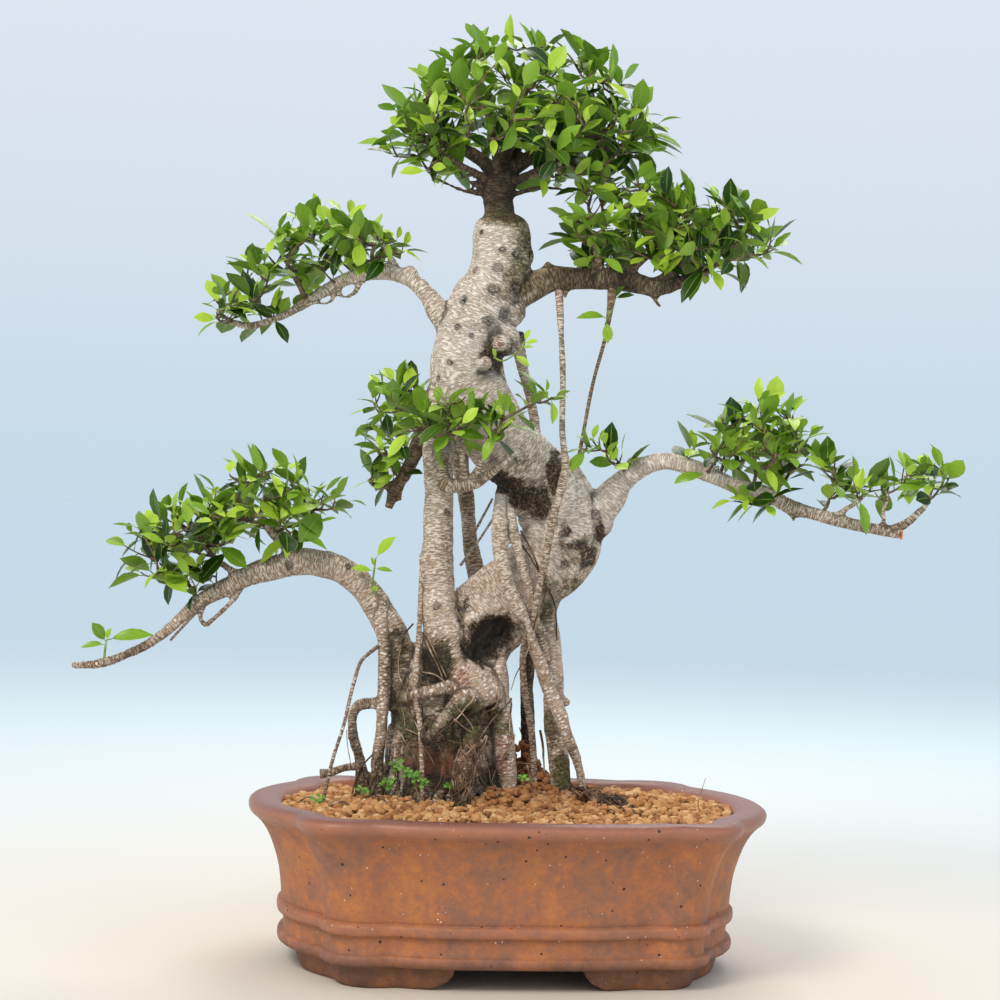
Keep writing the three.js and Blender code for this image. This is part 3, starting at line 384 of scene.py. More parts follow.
STUBS = {
    "stub_under_left_limb": [(-216, -9, 326, 2.6), (-218, -10, 319, 2.2), (-219, -10, 315, 2.4)],
    "hooked_twig": [
        (-228, -11, 318, 3.4), (-236, -15, 301, 2.8), (-248, -18, 288, 2.6), (-259, -19, 279, 2.8),
        (-263, -19, 283, 2.2), (-259, -18, 300, 2),
    ],
    "thin_twig": [(-262, -14, 296, 1.7), (-270, -16, 286, 1.4), (-288, -18, 265, 1.1)],
    "loop_under_upper_left": [(-136, 9, 578, 3), (-143, 6, 564, 2.4), (-152, 6, 560, 2.2), (-158, 9, 572, 2.6)],
    "twig_under_upper_left": [(-158, 8, 568, 2.4), (-163, 7, 556, 1.8), (-178, 8, 554, 1.5), (-190, 10, 548, 1.4)],
    "bare_twig_upper_left": [(-108, 6, 588, 3.4), (-118, 4, 602, 2.6), (-124, 2, 611, 2.2), (-119, 0, 622, 1.8)],
    "stub_on_right_limb": [(22, 0, 584, 6), (21, -2, 590, 4.2), (23, -3, 594, 3)],
    "stub_under_right_limb": [(36, -2, 578, 3.4), (37, -3, 568, 2.6), (36, -3, 564, 2.4)],
    "twig_under_right_limb": [(112, -8, 570, 3), (114, -8, 562, 2.2), (118, -9, 558, 1.9)],
    "stub_on_crown_stem": [(-22, 0, 652, 5), (-36, -6, 656, 3), (-48, -8, 660, 2)],
    "twig_left_of_crown": [(-30, -2, 650, 3), (-52, -10, 652, 2.2), (-78, -14, 662, 1.6)],
    "twig_right_of_crown": [(-16, -2, 648, 3), (14, -12, 656, 2.2), (44, -16, 652, 1.4)],
    "stub_lower_right": [(231, -10, 392, 3), (234, -12, 383, 2.2), (236, -12, 380, 1.8)],
    "spur_left_limb": [(-181, -7, 336, 5.5), (-197, -12, 350, 4.8), (-209, -15, 363, 4), (-220, -16, 375, 2.8)],
    "spur_left_limb_low": [(-228, -10, 320, 4), (-246, -14, 330, 3), (-262, -16, 344, 2.2)],
    "end_twig": [(316, -10, 374, 4.4), (330, -10, 381, 3.8), (340, -10, 390, 3.2), (348, -11, 399, 2.6),
                 (350, -12, 408, 2)],
    "upright_twig_right": [(312, -12, 376, 2.4), (310, -13, 392, 2.2), (314, -14, 402, 2), (311, -14, 409, 1.7)],
    "slant_twig_right": [(268, -12, 384, 3), (281, -14, 393, 2.6), (291, -15, 400, 2.2), (295, -15, 408, 2)],
    "fan_right_1": [(88, -8, 584, 4.6), (100, -14, 596, 3.6), (114, -18, 606, 2.6)],
    "fan_right_2": [(66, -6, 586, 4.6), (62, -14, 600, 3.4), (58, -18, 612, 2.4)],
    "fan_right_3": [(112, -8, 578, 4.6), (132, -12, 592, 3.4), (148, -14, 606, 2.4)],
    "front_twig_1": [(-46, -46, 403, 4.2), (-45, -50, 420, 3.4), (-48, -52, 436, 2.8), (-56, -52, 450, 2.2)],
    "front_twig_2": [(-33, -46, 405, 4), (-20, -50, 414, 3.4), (-8, -54, 424, 2.8), (6, -58, 438, 2.2)],
    "front_twig_3": [(-40, -46, 404, 3.4), (-30, -52, 422, 2.8), (-24, -54, 440, 2.2)],
    "string_behind_1": [(-34, 12, 364, 1.2), (-20, 10, 392, 1.0)],
    "string_behind_2": [(-46, 14, 334, 1.2), (-32, 12, 354, 1.0), (-19, 10, 375, 1.1)],
    "back_prong_left": [(-104, 58, 404, 4), (-116, 60, 400, 3), (-126, 60, 402, 2.4), (-130, 60, 407, 2)],
    "back_prong_right": [(-100, 58, 402, 3.6), (-102, 60, 392, 2.6), (-101, 60, 387, 2.1)],
}
# Old pruning scars and burls, as (x, y, z, radius).
BURLS = [
    (-14, -10, 526, 14), (-8, -6, 550, 12), (-2, -6, 598, 11), (70, 0, 374, 14), (-158, -4, 336, 8),
    (-46, -24, 518, 8), (46, -3, 221, 5), (-66, -13, 339, 14.6), (100, 2, 424, 8), (-96, 4, 581, 7.5),
    (-12, -14, 416, 13), (14, -19, 418, 11), (70, -6, 370, 8), (60, -10, 349, 7), (11, -3, 572, 11),
    (-17, -29, 522, 7.5), (-29, -30, 505, 6.5), (10, 2, 394, 18), (17, 3, 378, 15),
]
print(len(LIMBS), "limbs,", len(ROOTS), "roots")

# %% [markdown]
# ## From routes to one body of wood
# A centripetal Catmull-Rom curve passes through the points of a route without loops, which is why it is
# used for roots and cables. Blender's curve object sweeps a round section along the result. All the tubes
# are then melted together with a voxel remesh: it fuses overlapping limbs as a tree does, with no seams.

# %% Smooth routes and sweep them
def smooth_route(route, step=3.0):
    knots = np.array([p[:3] for p in route], float)
    radii = np.array([p[3] for p in route], float)
    padded = np.vstack([2 * knots[0] - knots[1], knots, 2 * knots[-1] - knots[-2]])
    points, widths = [], []
    for i in range(len(knots) - 1):
        p0, p1, p2, p3 = padded[i:i + 4]
        d0, d1, d2 = (np.linalg.norm(b - a) ** 0.5 for a, b in ((p0, p1), (p1, p2), (p2, p3)))
        m1 = d1 * ((p1 - p0) / d0 - (p2 - p0) / (d0 + d1) + (p2 - p1) / d1)
        m2 = d1 * ((p2 - p1) / d1 - (p3 - p1) / (d1 + d2) + (p3 - p2) / d2)
        steps = max(2, round(d1 * d1 / step))
        for t in np.arange(steps) / steps:
            a, b = 2 * t**3 - 3 * t**2 + 1, t**3 - 2 * t**2 + t
            points.append(a * p1 + b * m1 + (1 - a) * p2 + (t**3 - t**2) * m2)
            widths.append(radii[i] + (radii[i + 1] - radii[i]) * t)
    return np.array(points + [knots[-1]]), np.array(widths + [radii[-1]])


SWELLING_EVERY, KINK_EVERY, STRAIGHT_END = 17, 24, 12  # mm


def gnarled(points, widths, seed, swell=0.07, wander=0.06):
    """The same route with small swellings and kinks every few centimetres, none at its ends."""
    run = np.r_[0, np.cumsum(np.linalg.norm(np.diff(points, axis=0), axis=1))]
    hold = np.clip(np.minimum(run, run[-1] - run) / STRAIGHT_END, 0, 1)
    points, widths = points.copy(), widths.copy()
    for k, s in enumerate(run):
        widths[k] *= 1 + swell * noise.noise((s / SWELLING_EVERY, seed * 3.7, 0.5)) * 1.6
        shift = noise.noise_vector((s / KINK_EVERY, seed * 2.3, 9.0))
        points[k] += np.array(shift) * widths[k] * wander * 2 * hold[k]
    return points, widths


def sweep(name, routes, sides=12):
    """A mesh of round tubes along (points, widths) routes."""
    curve = bpy.data.curves.new(name, "CURVE")
    curve.dimensions = "3D"
    curve.bevel_depth = 1.0
    curve.bevel_resolution = (sides - 4) // 2
    curve.use_fill_caps = True
    for points, widths in routes:
        spline = curve.splines.new("POLY")
        spline.points.add(len(points) - 1)
        spline.points.foreach_set("co", np.c_[points, np.ones(len(points))].ravel())
        spline.points.foreach_set("radius", widths)
    holder = bpy.data.objects.new(name, curve)
    mesh = bpy.data.meshes.new_from_object(holder)
    bpy.data.objects.remove(holder)
    shape = bmesh.new()
    shape.from_mesh(mesh)
    bmesh.ops.remove_doubles(shape, verts=shape.verts, dist=0.02)
    bmesh.ops.recalc_face_normals(shape, faces=shape.faces)
    shape.to_mesh(mesh)
    shape.free()
    return mesh


THIN = ("thin_long", "thin_slant", "thin_front", "thin_left", "hook_stub")
THINNEST_MELTED = 1.95  # mm: a limb nowhere thicker than this would be lost in the voxels
smooth = {}
for number, (name, route) in enumerate({**LIMBS, **ROOTS, **STUBS}.items()):
    points, widths = smooth_route(route)
    calm = 0.4 if name == "trunk" else 1.0
    slim = 0.84 if name in ("thin_slant", "thin_front", "thin_left") else 1.0
    smooth[name] = gnarled(points, widths * slim, number + 1, 0.07 * calm, 0.06 * calm)
print("trunk length", round(float(np.linalg.norm(np.diff(smooth["trunk"][0], axis=0), axis=1).sum())), "mm")

# %% [markdown]
# Down at the soil the trunk is not round. Old roots run down its face and have grown into it, so it looks
# fluted, like a bundle of cords. They are swept as extra tubes that lean and wander on the trunk's own
# route, half sunk in it, before the melting.

# %% Roots grown into the trunk's base
def grown_in_roots(count, seed):
    rng = random.Random(seed)
    centre, girth = smooth["trunk"]
    foot, low_part = 124, 60
    routes = []
    for k in range(count):
        turn = math.tau * (k + 0.6 * rng.random()) / count
        top = rng.uniform(190, 268)
        lean, thick = rng.uniform(-0.5, 0.5), rng.uniform(3.2, 6.2)
        if math.sin(turn) < -0.3:  # in front they are overgrown, so only thin ridges show
            lean, thick = 1.8 * lean, 0.5 * thick
        points, widths = [], []
        for z in np.arange(top, foot, -5.0):
            i = int(np.argmin(abs(centre[:low_part, 2] - z)))
            a = turn + lean * (top - z) / 110 + 0.22 * noise.noise((z / 20, k * 5.1, seed))
            share = min(1.0, (top - z) / 45)
            reach = girth[i] * 0.97 - 1.2 + 1.6 * share + 0.10 * max(0, 170 - z)
            points.append((centre[i, 0] + reach * math.cos(a), centre[i, 1] + reach * math.sin(a), z))
            widths.append(thick * (0.45 + 0.55 * share))
        routes.append(gnarled(np.array(points), np.array(widths), seed + k, 0.12, 0.2))
    return routes


body_routes = [route for name, route in smooth.items() if name not in THIN and route[1].max() >= THINNEST_MELTED]
body_routes += grown_in_roots(17, 31)
raw_wood = sweep("raw_wood", body_routes)
shape = bmesh.new()
shape.from_mesh(raw_wood)
for x, y, z, radius in BURLS:
    bmesh.ops.create_icosphere(shape, subdivisions=3, radius=radius, matrix=Matrix.Translation((x, y, z)))
shape.to_mesh(raw_wood)
shape.free()
print("tubes melted together:", len(body_routes))

# %% Melt the tubes into one body
VOXEL = 2.0  # mm: two voxels across the thinnest limb that goes in


def melted(mesh, voxel):
    holder = bpy.data.objects.new("melting", mesh)
    scene.collection.objects.link(holder)
    remesh = holder.modifiers.new("voxels", "REMESH")
    remesh.mode = "VOXEL"
    remesh.voxel_size = voxel
    view = holder.evaluated_get(bpy.context.evaluated_depsgraph_get())
    result = bpy.data.meshes.new_from_object(view)
    bpy.data.objects.remove(holder)
    return result


def positions(mesh):
    places = np.empty(len(mesh.vertices) * 3, np.float32)
    mesh.vertices.foreach_get("co", places)
    return places.reshape(-1, 3).astype(float)


def directions(mesh):
    normals = np.empty(len(mesh.vertices) * 3, np.float32)
    mesh.vertex_normals.foreach_get("vector", normals)
    return normals.reshape(-1, 3).astype(float)


def averaged(mesh, values, rounds):
    """Values spread over the surface: each round moves a vertex half way to its neighbours' mean."""
    ends = np.empty(len(mesh.edges) * 2, np.int32)
    mesh.edges.foreach_get("vertices", ends)
    a, b = ends.reshape(-1, 2).T
    count = np.bincount(np.r_[a, b], minlength=len(values))
    values = values.copy()
    for _ in range(rounds):
        for axis in range(values.shape[1]):
            column = values[:, axis]
            total = np.bincount(np.r_[a, b], np.r_[column[b], column[a]], len(column))
            values[:, axis] = (column + total / np.maximum(count, 1)) / 2
    return values


wood = melted(raw_wood, VOXEL)
wood.vertices.foreach_set("co", averaged(wood, positions(wood), 3).ravel())
wood.update()
print("melted wood", len(wood.polygons), "faces")

# %% [markdown]
# ## Straightened limbs
# Ficus bark is ringed: pale lenticels, small corky dashes through which it breathes, lie across each limb,
# whichever way the limb bends. A pattern in plain x, y, z would run level through the whole tree. So every
# vertex gets a second address: how far it is along its own limb, and where it sits across it. The bark's
# pattern is drawn in that straightened space.

# %% An address on the nearest limb for every vertex
def limb_frames(names):
    places, widths, runs, sides, others, ways = [], [], [], [], [], []
    for number, name in enumerate(names):
        points, radii = smooth[name]
        way = np.gradient(points, axis=0)
        way /= np.linalg.norm(way, axis=1)[:, None]
        run = np.r_[0, np.cumsum(np.linalg.norm(np.diff(points, axis=0), axis=1))] + 370 * number
        side = np.array((0.0, 1.0, 0.0)) if abs(way[0][1]) < 0.9 else np.array((1.0, 0.0, 0.0))
        for k in range(len(points)):
            side = side - way[k] * side.dot(way[k])
            side /= np.linalg.norm(side)
            sides.append(side)
            others.append(np.cross(way[k], side))
        places.append(points)
        widths.append(radii)
        runs.append(run)
        ways.append(way)
    return (
        np.concatenate(places), np.concatenate(widths), np.concatenate(runs),
        np.array(sides), np.array(others), np.concatenate(ways),
    )


def limb_address(places, names):
    """Per vertex: (across, other across, along) in mm on its nearest limb, the limb's radius and number."""
    centres, radii, runs, sides, others, ways = limb_frames(names)
    owners = np.concatenate([[number] * len(smooth[name][0]) for number, name in enumerate(names)])
    best = np.empty(len(places), int)
    batch = 4000  # keeps the table of distances small
    for start in range(0, len(places), batch):
        block = places[start:start + batch]
        gap = np.linalg.norm(block[:, None] - centres[None], axis=2) - radii
        best[start:start + batch] = gap.argmin(axis=1)
    off = places - centres[best]
    along = (off * ways[best]).sum(axis=1)
    address = np.c_[(off * sides[best]).sum(axis=1), (off * others[best]).sum(axis=1), runs[best] + along]
    return address, radii[best], owners[best]


body_names = [name for name in smooth if name not in THIN]
address, girth, owner = limb_address(positions(wood), body_names)
print("addresses for", len(address), "vertices")

# %% [markdown]
# ## Relief of the bark
# The body is still too smooth. Lumps and long flutes are pushed out along the surface, deeper near the
# soil. Old pruning scars are little craters with a raised rim, which the tree grows round a cut twig. Below
# the bend of the trunk is a deep hollow; its dark is partly sooty rot and partly painted shade. What each
# place does to the colour is kept in an attribute: red for rot and for the hollow's painted shade, green for
# moss, blue for reddish young skin, and alpha for how weathered the bark is together with painted shade.
# A scar is finer than the mesh, so each vertex keeps its distance to the nearest one, counted in the scar's
# radii, and the shader draws the rings.

# %% Marks seen on the wood
# Scars as (x, z, radius) seen from the front, on whatever surface is first met there.
SCARS = [
    (-35.5, 616, 3), (-17.8, 601, 3.4), (-6, 598, 5.5), (-21, 586, 5), (-48.5, 557.5, 4), (-24, 567, 5.5),
    (-5.9, 569, 8), (-53, 535, 3.6), (-28, 541, 5.5), (-14, 546, 8.5), (-41.5, 528, 3), (-58, 505, 3.4),
    (-68, 492, 3), (-40, 584, 3), (32, 374, 5.5), (56, 356, 5), (67, 349, 5),
    (42, 338, 5), (-58, 380, 3.5), (67, 381, 6), (-64, 300, 3.5), (-190, 331, 4),
    (-140, 331, 3.5), (84, 583, 4), (60, 581, 3.5), (-88, 250, 4.5), (-98, 276, 3.5), (42, 196, 4),
    (-2, 176, 3.5), (-8, 520, 7), (0, 532, 6),
]
# Scars on the back, as they are seen from the front through the trunk.
BACK_SCARS = [
    (-30, 600, 4), (-40, 560, 5), (-18, 575, 3.5), (30, 380, 6), (50, 350, 4), (-44, 500, 4), (-6, 440, 5),
]
HOLLOW_SPOT, HOLLOW_SIZE = Vector((-15, -34, 276)), Vector((23, 44, 21))
CUT_SPOT = Vector((329, -10, 372))
# Soft patches as (x, z, half width, half height, strength).
ROT_SPOTS = [
    (-14, 402, 14, 12, 0.95), (6, 396, 26, 14, 0.8), (22, 384, 12, 12, 0.7), (32, 420, 7, 20, 0.85),
    (-22, 512, 15, 14, 0.8), (-42, 292, 6, 20, 0.5), (1, 606, 8, 8, 0.4), (40, 366, 8, 7, 0.65),
    (52, 354, 12, 5, 0.6), (64, 345, 9, 12, 0.7), (72, 368, 5, 14, 0.75), (7, 592, 5, 26, 0.5),
]
MOSS_SPOTS = [
    (15, 398, 17, 18, 0.35), (56, 348, 20, 14, 0.5), (43, 309, 20, 18, 0.5), (-110, 150, 10, 14, 0.6),
    (22, 168, 10, 16, 0.6), (-2, 575, 14, 36, 0.62), (8, 548, 16, 22, 0.62), (-14, 628, 30, 9, 0.6),
    (-24, 534, 14, 12, 0.45), (-16, 512, 12, 8, 0.6), (0, 604, 12, 12, 0.6), (-92, 206, 18, 17, 0.85),
    (-34, 213, 25, 12, 0.85), (-62, 204, 22, 10, 0.6), (-46, 193, 22, 12, 0.6), (-94, 263, 12, 25, 0.4),
    (-67, 249, 15, 22, 0.35),
    (-3, 198, 8, 6, 0.7), (28, 304, 8, 21, 0.75), (35, 201, 7, 10, 0.8), (45, 160, 13, 20, 0.8),
    (-3, 261, 5, 15, 0.5), (-38, 139, 8, 7, 0.8),
]
# Darker patches: painted shade in the recess under the left limb and on the shaded foot of the trunk, and browner
# bark on the outer limbs and at the crown stem's neck.
DARK_BARK_AND_SHADE_SPOTS = [
    (2, 421, 24, 11, 0.35), (232, 392, 34, 14, 0.4), (300, 376, 50, 14, 0.5), (-340, 248, 50, 16, 0.35),
    (-262, 302, 36, 16, 0.3), (-200, 546, 50, 18, 0.32),
    (8, 398, 24, 22, 0.5), (62, 346, 16, 16, 0.25), (0, 585, 16, 46, 0.45), (-20, 634, 32, 9, 0.85),
    (40, 300, 24, 24, 0.25), (-14, 512, 14, 10, 0.4), (-96, 255, 12, 34, 0.5), (-67, 251, 16, 24, 1.0),
    (-72, 182, 28, 24, 0.8), (-53, 159, 28, 14, 0.95), (-16, 160, 10, 10, 0.75), (-62, 190, 40, 30, 0.6),
    (27, 296, 7, 17, 0.35), (54, 153, 12, 10, 0.9), (47, 163, 12, 22, 0.75), (38, 185, 7, 12, 0.6),
    (-98, 170, 14, 24, 0.5), (-36, 190, 30, 20, 0.6),
    (47, 168, 12, 20, 0.5), (52, 320, 14, 8, 0.6),
]
RED_SPOTS = [
    (-42, 250, 7, 20, 0.4), (-40, 239, 9, 9, 1.0), (-2, 189, 9, 8, 0.9), (-5, 169, 9, 9, 0.9),
    (-49, 172, 35, 14, 0.8), (46, 207, 7, 8, 0.6), (-75, 184, 17, 12, 0.4), (-6, 521, 8, 7, 0.6),
    (-17, 522, 6, 6, 0.9), (-29, 505, 5, 5, 0.9), (-108, 226, 6, 16, 0.4),
]
PALE_SPOTS = [
    (-61, 298, 20, 20, 0.6), (-22, 240, 16, 18, 0.9), (-35, 263, 10, 20, 0.7), (-9, 232, 11, 24, 1.0),
    (-1, 158, 9, 10, 1.0), (37, 263, 9, 22, 0.9), (43, 162, 8, 14, 0.9), (-39, 159, 9, 18, 0.8),
    (55, 386, 16, 20, 0.9), (66, 160, 7, 18, 1.0), (40, 216, 10, 30, 0.6), (-5, 182, 9, 30, 0.6),
    (-6, 210, 9, 26, 0.8),
]
# How weathered each limb is: 0 is pale and smooth, 1 dark brown and rough.
LIMB_WEAR = {
    "crown_stem": 0.95, "upper_right_limb": 0.62, "upper_left_limb": 0.3, "left_limb": 0.24,
    "lower_right_limb": 0.04, "back_limb": 0.66, "front_knob": 0.58, "pillar": 0.30, "prop_root": 0.34,
    "hook": 0.50, "cross": 0.42, "back_pillar": 0.42, "burl_outer": 0.36, "burl_inner": 0.42, "knee": 0.30,
    "back_right": 0.75, "back_centre": 0.5, "front_foot": 0.5, "centre": 0.1, "right": 0.1,
    "long_diagonal": 0.24, "short_diagonal": 0.3,
}
print(len(SCARS) + len(BACK_SCARS), "scars,", len(MOSS_SPOTS), "patches of moss")

# %% Push out lumps, flutes and scars
places, normals = positions(wood), directions(wood)
surface = BVHTree.FromPolygons(places.tolist(), [tuple(p.vertices) for p in wood.polygons])
patches = np.array([noise.noise(Vector(p) / 24) + 0.6 * noise.noise(Vector(p) / 9) for p in places])


def first_met(x, z, front=True):
    side = -1 if front else 1
    spot, _, _, _ = surface.ray_cast(Vector((x, 300 * side, z)), Vector((0, -side, 0)))
    return spot


def patch_share(spots, ragged=0.5):
    """How far each vertex lies inside soft, ragged patches on the front of the wood."""
    share = np.zeros(len(places))
    for x, z, wide, high, strength in spots:
        middle = np.array(first_met(x, z) or (x, 0, z))
        away = np.linalg.norm((places - middle) / np.array((wide, max(wide, 20), high)), axis=1)
        share = np.maximum(share, strength * np.clip((1.35 - away + ragged * patches) / 0.7, 0, 1))
    return share


# Sizes of the relief in mm: lumps, then flutes that are narrow and long, then small pimples.
LUMP_WIDTH, LUMP_LENGTH, LUMP_SHARE = 13, 21, 0.045
FLUTE_WIDTH, FLUTE_LENGTH, FLUTE_DEPTH, DEEP_FLUTE = 4.6, 42, 0.25, 2.4
PIMPLE_SIZE, PIMPLE_HEIGHT = 5, 0.4
FLUTED_BELOW, FLUTE_FADE = 250, 110
HOLLOW_DEPTH = 10
FAR_FROM_SCARS = 3.0
relief = np.zeros(len(places))
for i, (u, w, s) in enumerate(address):
    r, low = girth[i], max(0.0, (FLUTED_BELOW - places[i, 2]) / FLUTE_FADE)
    flute = FLUTE_DEPTH + DEEP_FLUTE * min(low, 1.0) * min(r / 30, 1)
    relief[i] += r * LUMP_SHARE * noise.noise((u / LUMP_WIDTH, w / LUMP_WIDTH, s / LUMP_LENGTH))
    relief[i] += flute * noise.noise((u / FLUTE_WIDTH, w / FLUTE_WIDTH, s / FLUTE_LENGTH + 7))
    relief[i] += PIMPLE_HEIGHT * noise.noise((u / PIMPLE_SIZE, w / PIMPLE_SIZE, s / PIMPLE_SIZE + 40))
to_scar = np.full(len(places), FAR_FROM_SCARS)
for front, spots in ((True, SCARS), (False, BACK_SCARS)):
    for x, z, radius in spots:
        spot = first_met(x, z, front)
        if spot is None:
            continue
        far = np.linalg.norm(places - np.array(spot), axis=1) / radius
        relief += radius * (0.24 * np.exp(-((far - 0.9) / 0.4) ** 2) - 0.08 * np.exp(-(far / 0.5) ** 2))
        to_scar = np.minimum(to_scar, far)
away = np.linalg.norm((places - np.array(HOLLOW_SPOT)) / np.array(HOLLOW_SIZE), axis=1)
depth = np.clip(1.3 - away + 0.45 * patches, 0, 1)
rough = np.array([noise.noise(Vector(p) / 5) for p in places])
relief -= HOLLOW_DEPTH * np.clip(depth * 1.3, 0, 1) - 3.0 * depth * rough
places += normals * relief[:, None]
wood.vertices.foreach_set("co", places.ravel())
wood.update()
print("relief from", round(relief.min(), 1), "to", round(relief.max(), 1), "mm")

# %% Hollows, moss, young skin, wear and painted shade
def dusk_of(mesh, rounds=22, depth=1.1):
    """How deep a vertex lies between its neighbours, 0 on open bark to 1 in a crease."""
    here, out = positions(mesh), directions(mesh)
    return np.clip(((averaged(mesh, here, rounds) - here) * out).sum(axis=1) / depth, 0, 1)


def store_marks(mesh, address, marks, scar, dusk):
    """Keeps what the bark's shader reads at each vertex."""
    for name, values, kind, field in (
        ("limb", address * MM, "FLOAT_VECTOR", "vector"), ("marks", marks, "FLOAT_COLOR", "color"),
        ("scar", scar, "FLOAT", "value"), ("dusk", dusk, "FLOAT", "value"),
    ):
        layer = mesh.attributes.new(name, kind, "POINT")
        layer.data.foreach_set(field, np.asarray(values, np.float32).ravel())


# How deep each vertex lies in a crease, less near scars: the bark is darkened there as painted shade.
dusk = dusk_of(wood) * np.clip(to_scar - 0.4, 0.25, 1)
DAMP_BELOW, DAMP_FADE = 215, 85
CROWN_FOOT = 630
height = places[:, 2]
damp = np.clip((DAMP_BELOW - height) / DAMP_FADE, 0, 1)
marks = np.zeros((len(places), 4))
# Red: rot, and the hollow's depth, whose dark is partly black soil and moss and partly painted shade.
marks[:, 0] = np.maximum(patch_share(ROT_SPOTS, 0.7), np.clip(depth * 2.2, 0, 1))
marks[:, 1] = np.maximum(patch_share(MOSS_SPOTS, 0.8), damp * (0.2 + 0.5 * patches) + 0.35 * dusk * damp)
marks[:, 2] = patch_share(RED_SPOTS)
marks[:, 0] *= 1 - np.clip(1.6 * marks[:, 2] - 0.3, 0, 1) * (height > 480)  # young knobs are sound
wear_and_shade = np.array([next((w for key, w in LIMB_WEAR.items() if body_names[n].startswith(key)),
                      0.9 if body_names[n].startswith("crown") else 0.5 if body_names[n] in STUBS else 0.1)
                 for n in owner])
# The upper trunk darkens towards its right side: partly stain, partly painted shade.
right_side = np.clip((places[:, 0] + 14) / 40, 0, 1) * np.clip((height - 470) / 60, 0, 1)
wear_and_shade = averaged(wood, wear_and_shade[:, None], 14)[:, 0] + 0.22 * patches + 0.26 * damp + 0.3 * right_side
wear_and_shade = np.maximum(0, wear_and_shade - 0.5 * patch_share(PALE_SPOTS))
wear_and_shade = np.maximum(wear_and_shade, wear_and_shade * 0.5 + patch_share(DARK_BARK_AND_SHADE_SPOTS))
wear_and_shade = np.maximum(wear_and_shade, 0.97 * np.clip((height - CROWN_FOOT) / 8, 0, 1))
# Alpha: weathering together with painted shade; it grows darker towards the soil and towards the back.
marks[:, 3] = wear_and_shade + 0.12 * np.clip((places[:, 1] - 6) / 20, 0, 1)
store_marks(wood, address, np.clip(marks, 0, 1), to_scar, dusk)
print("share of damp bark", round(float((marks[:, 1] > 0.4).mean()), 2))
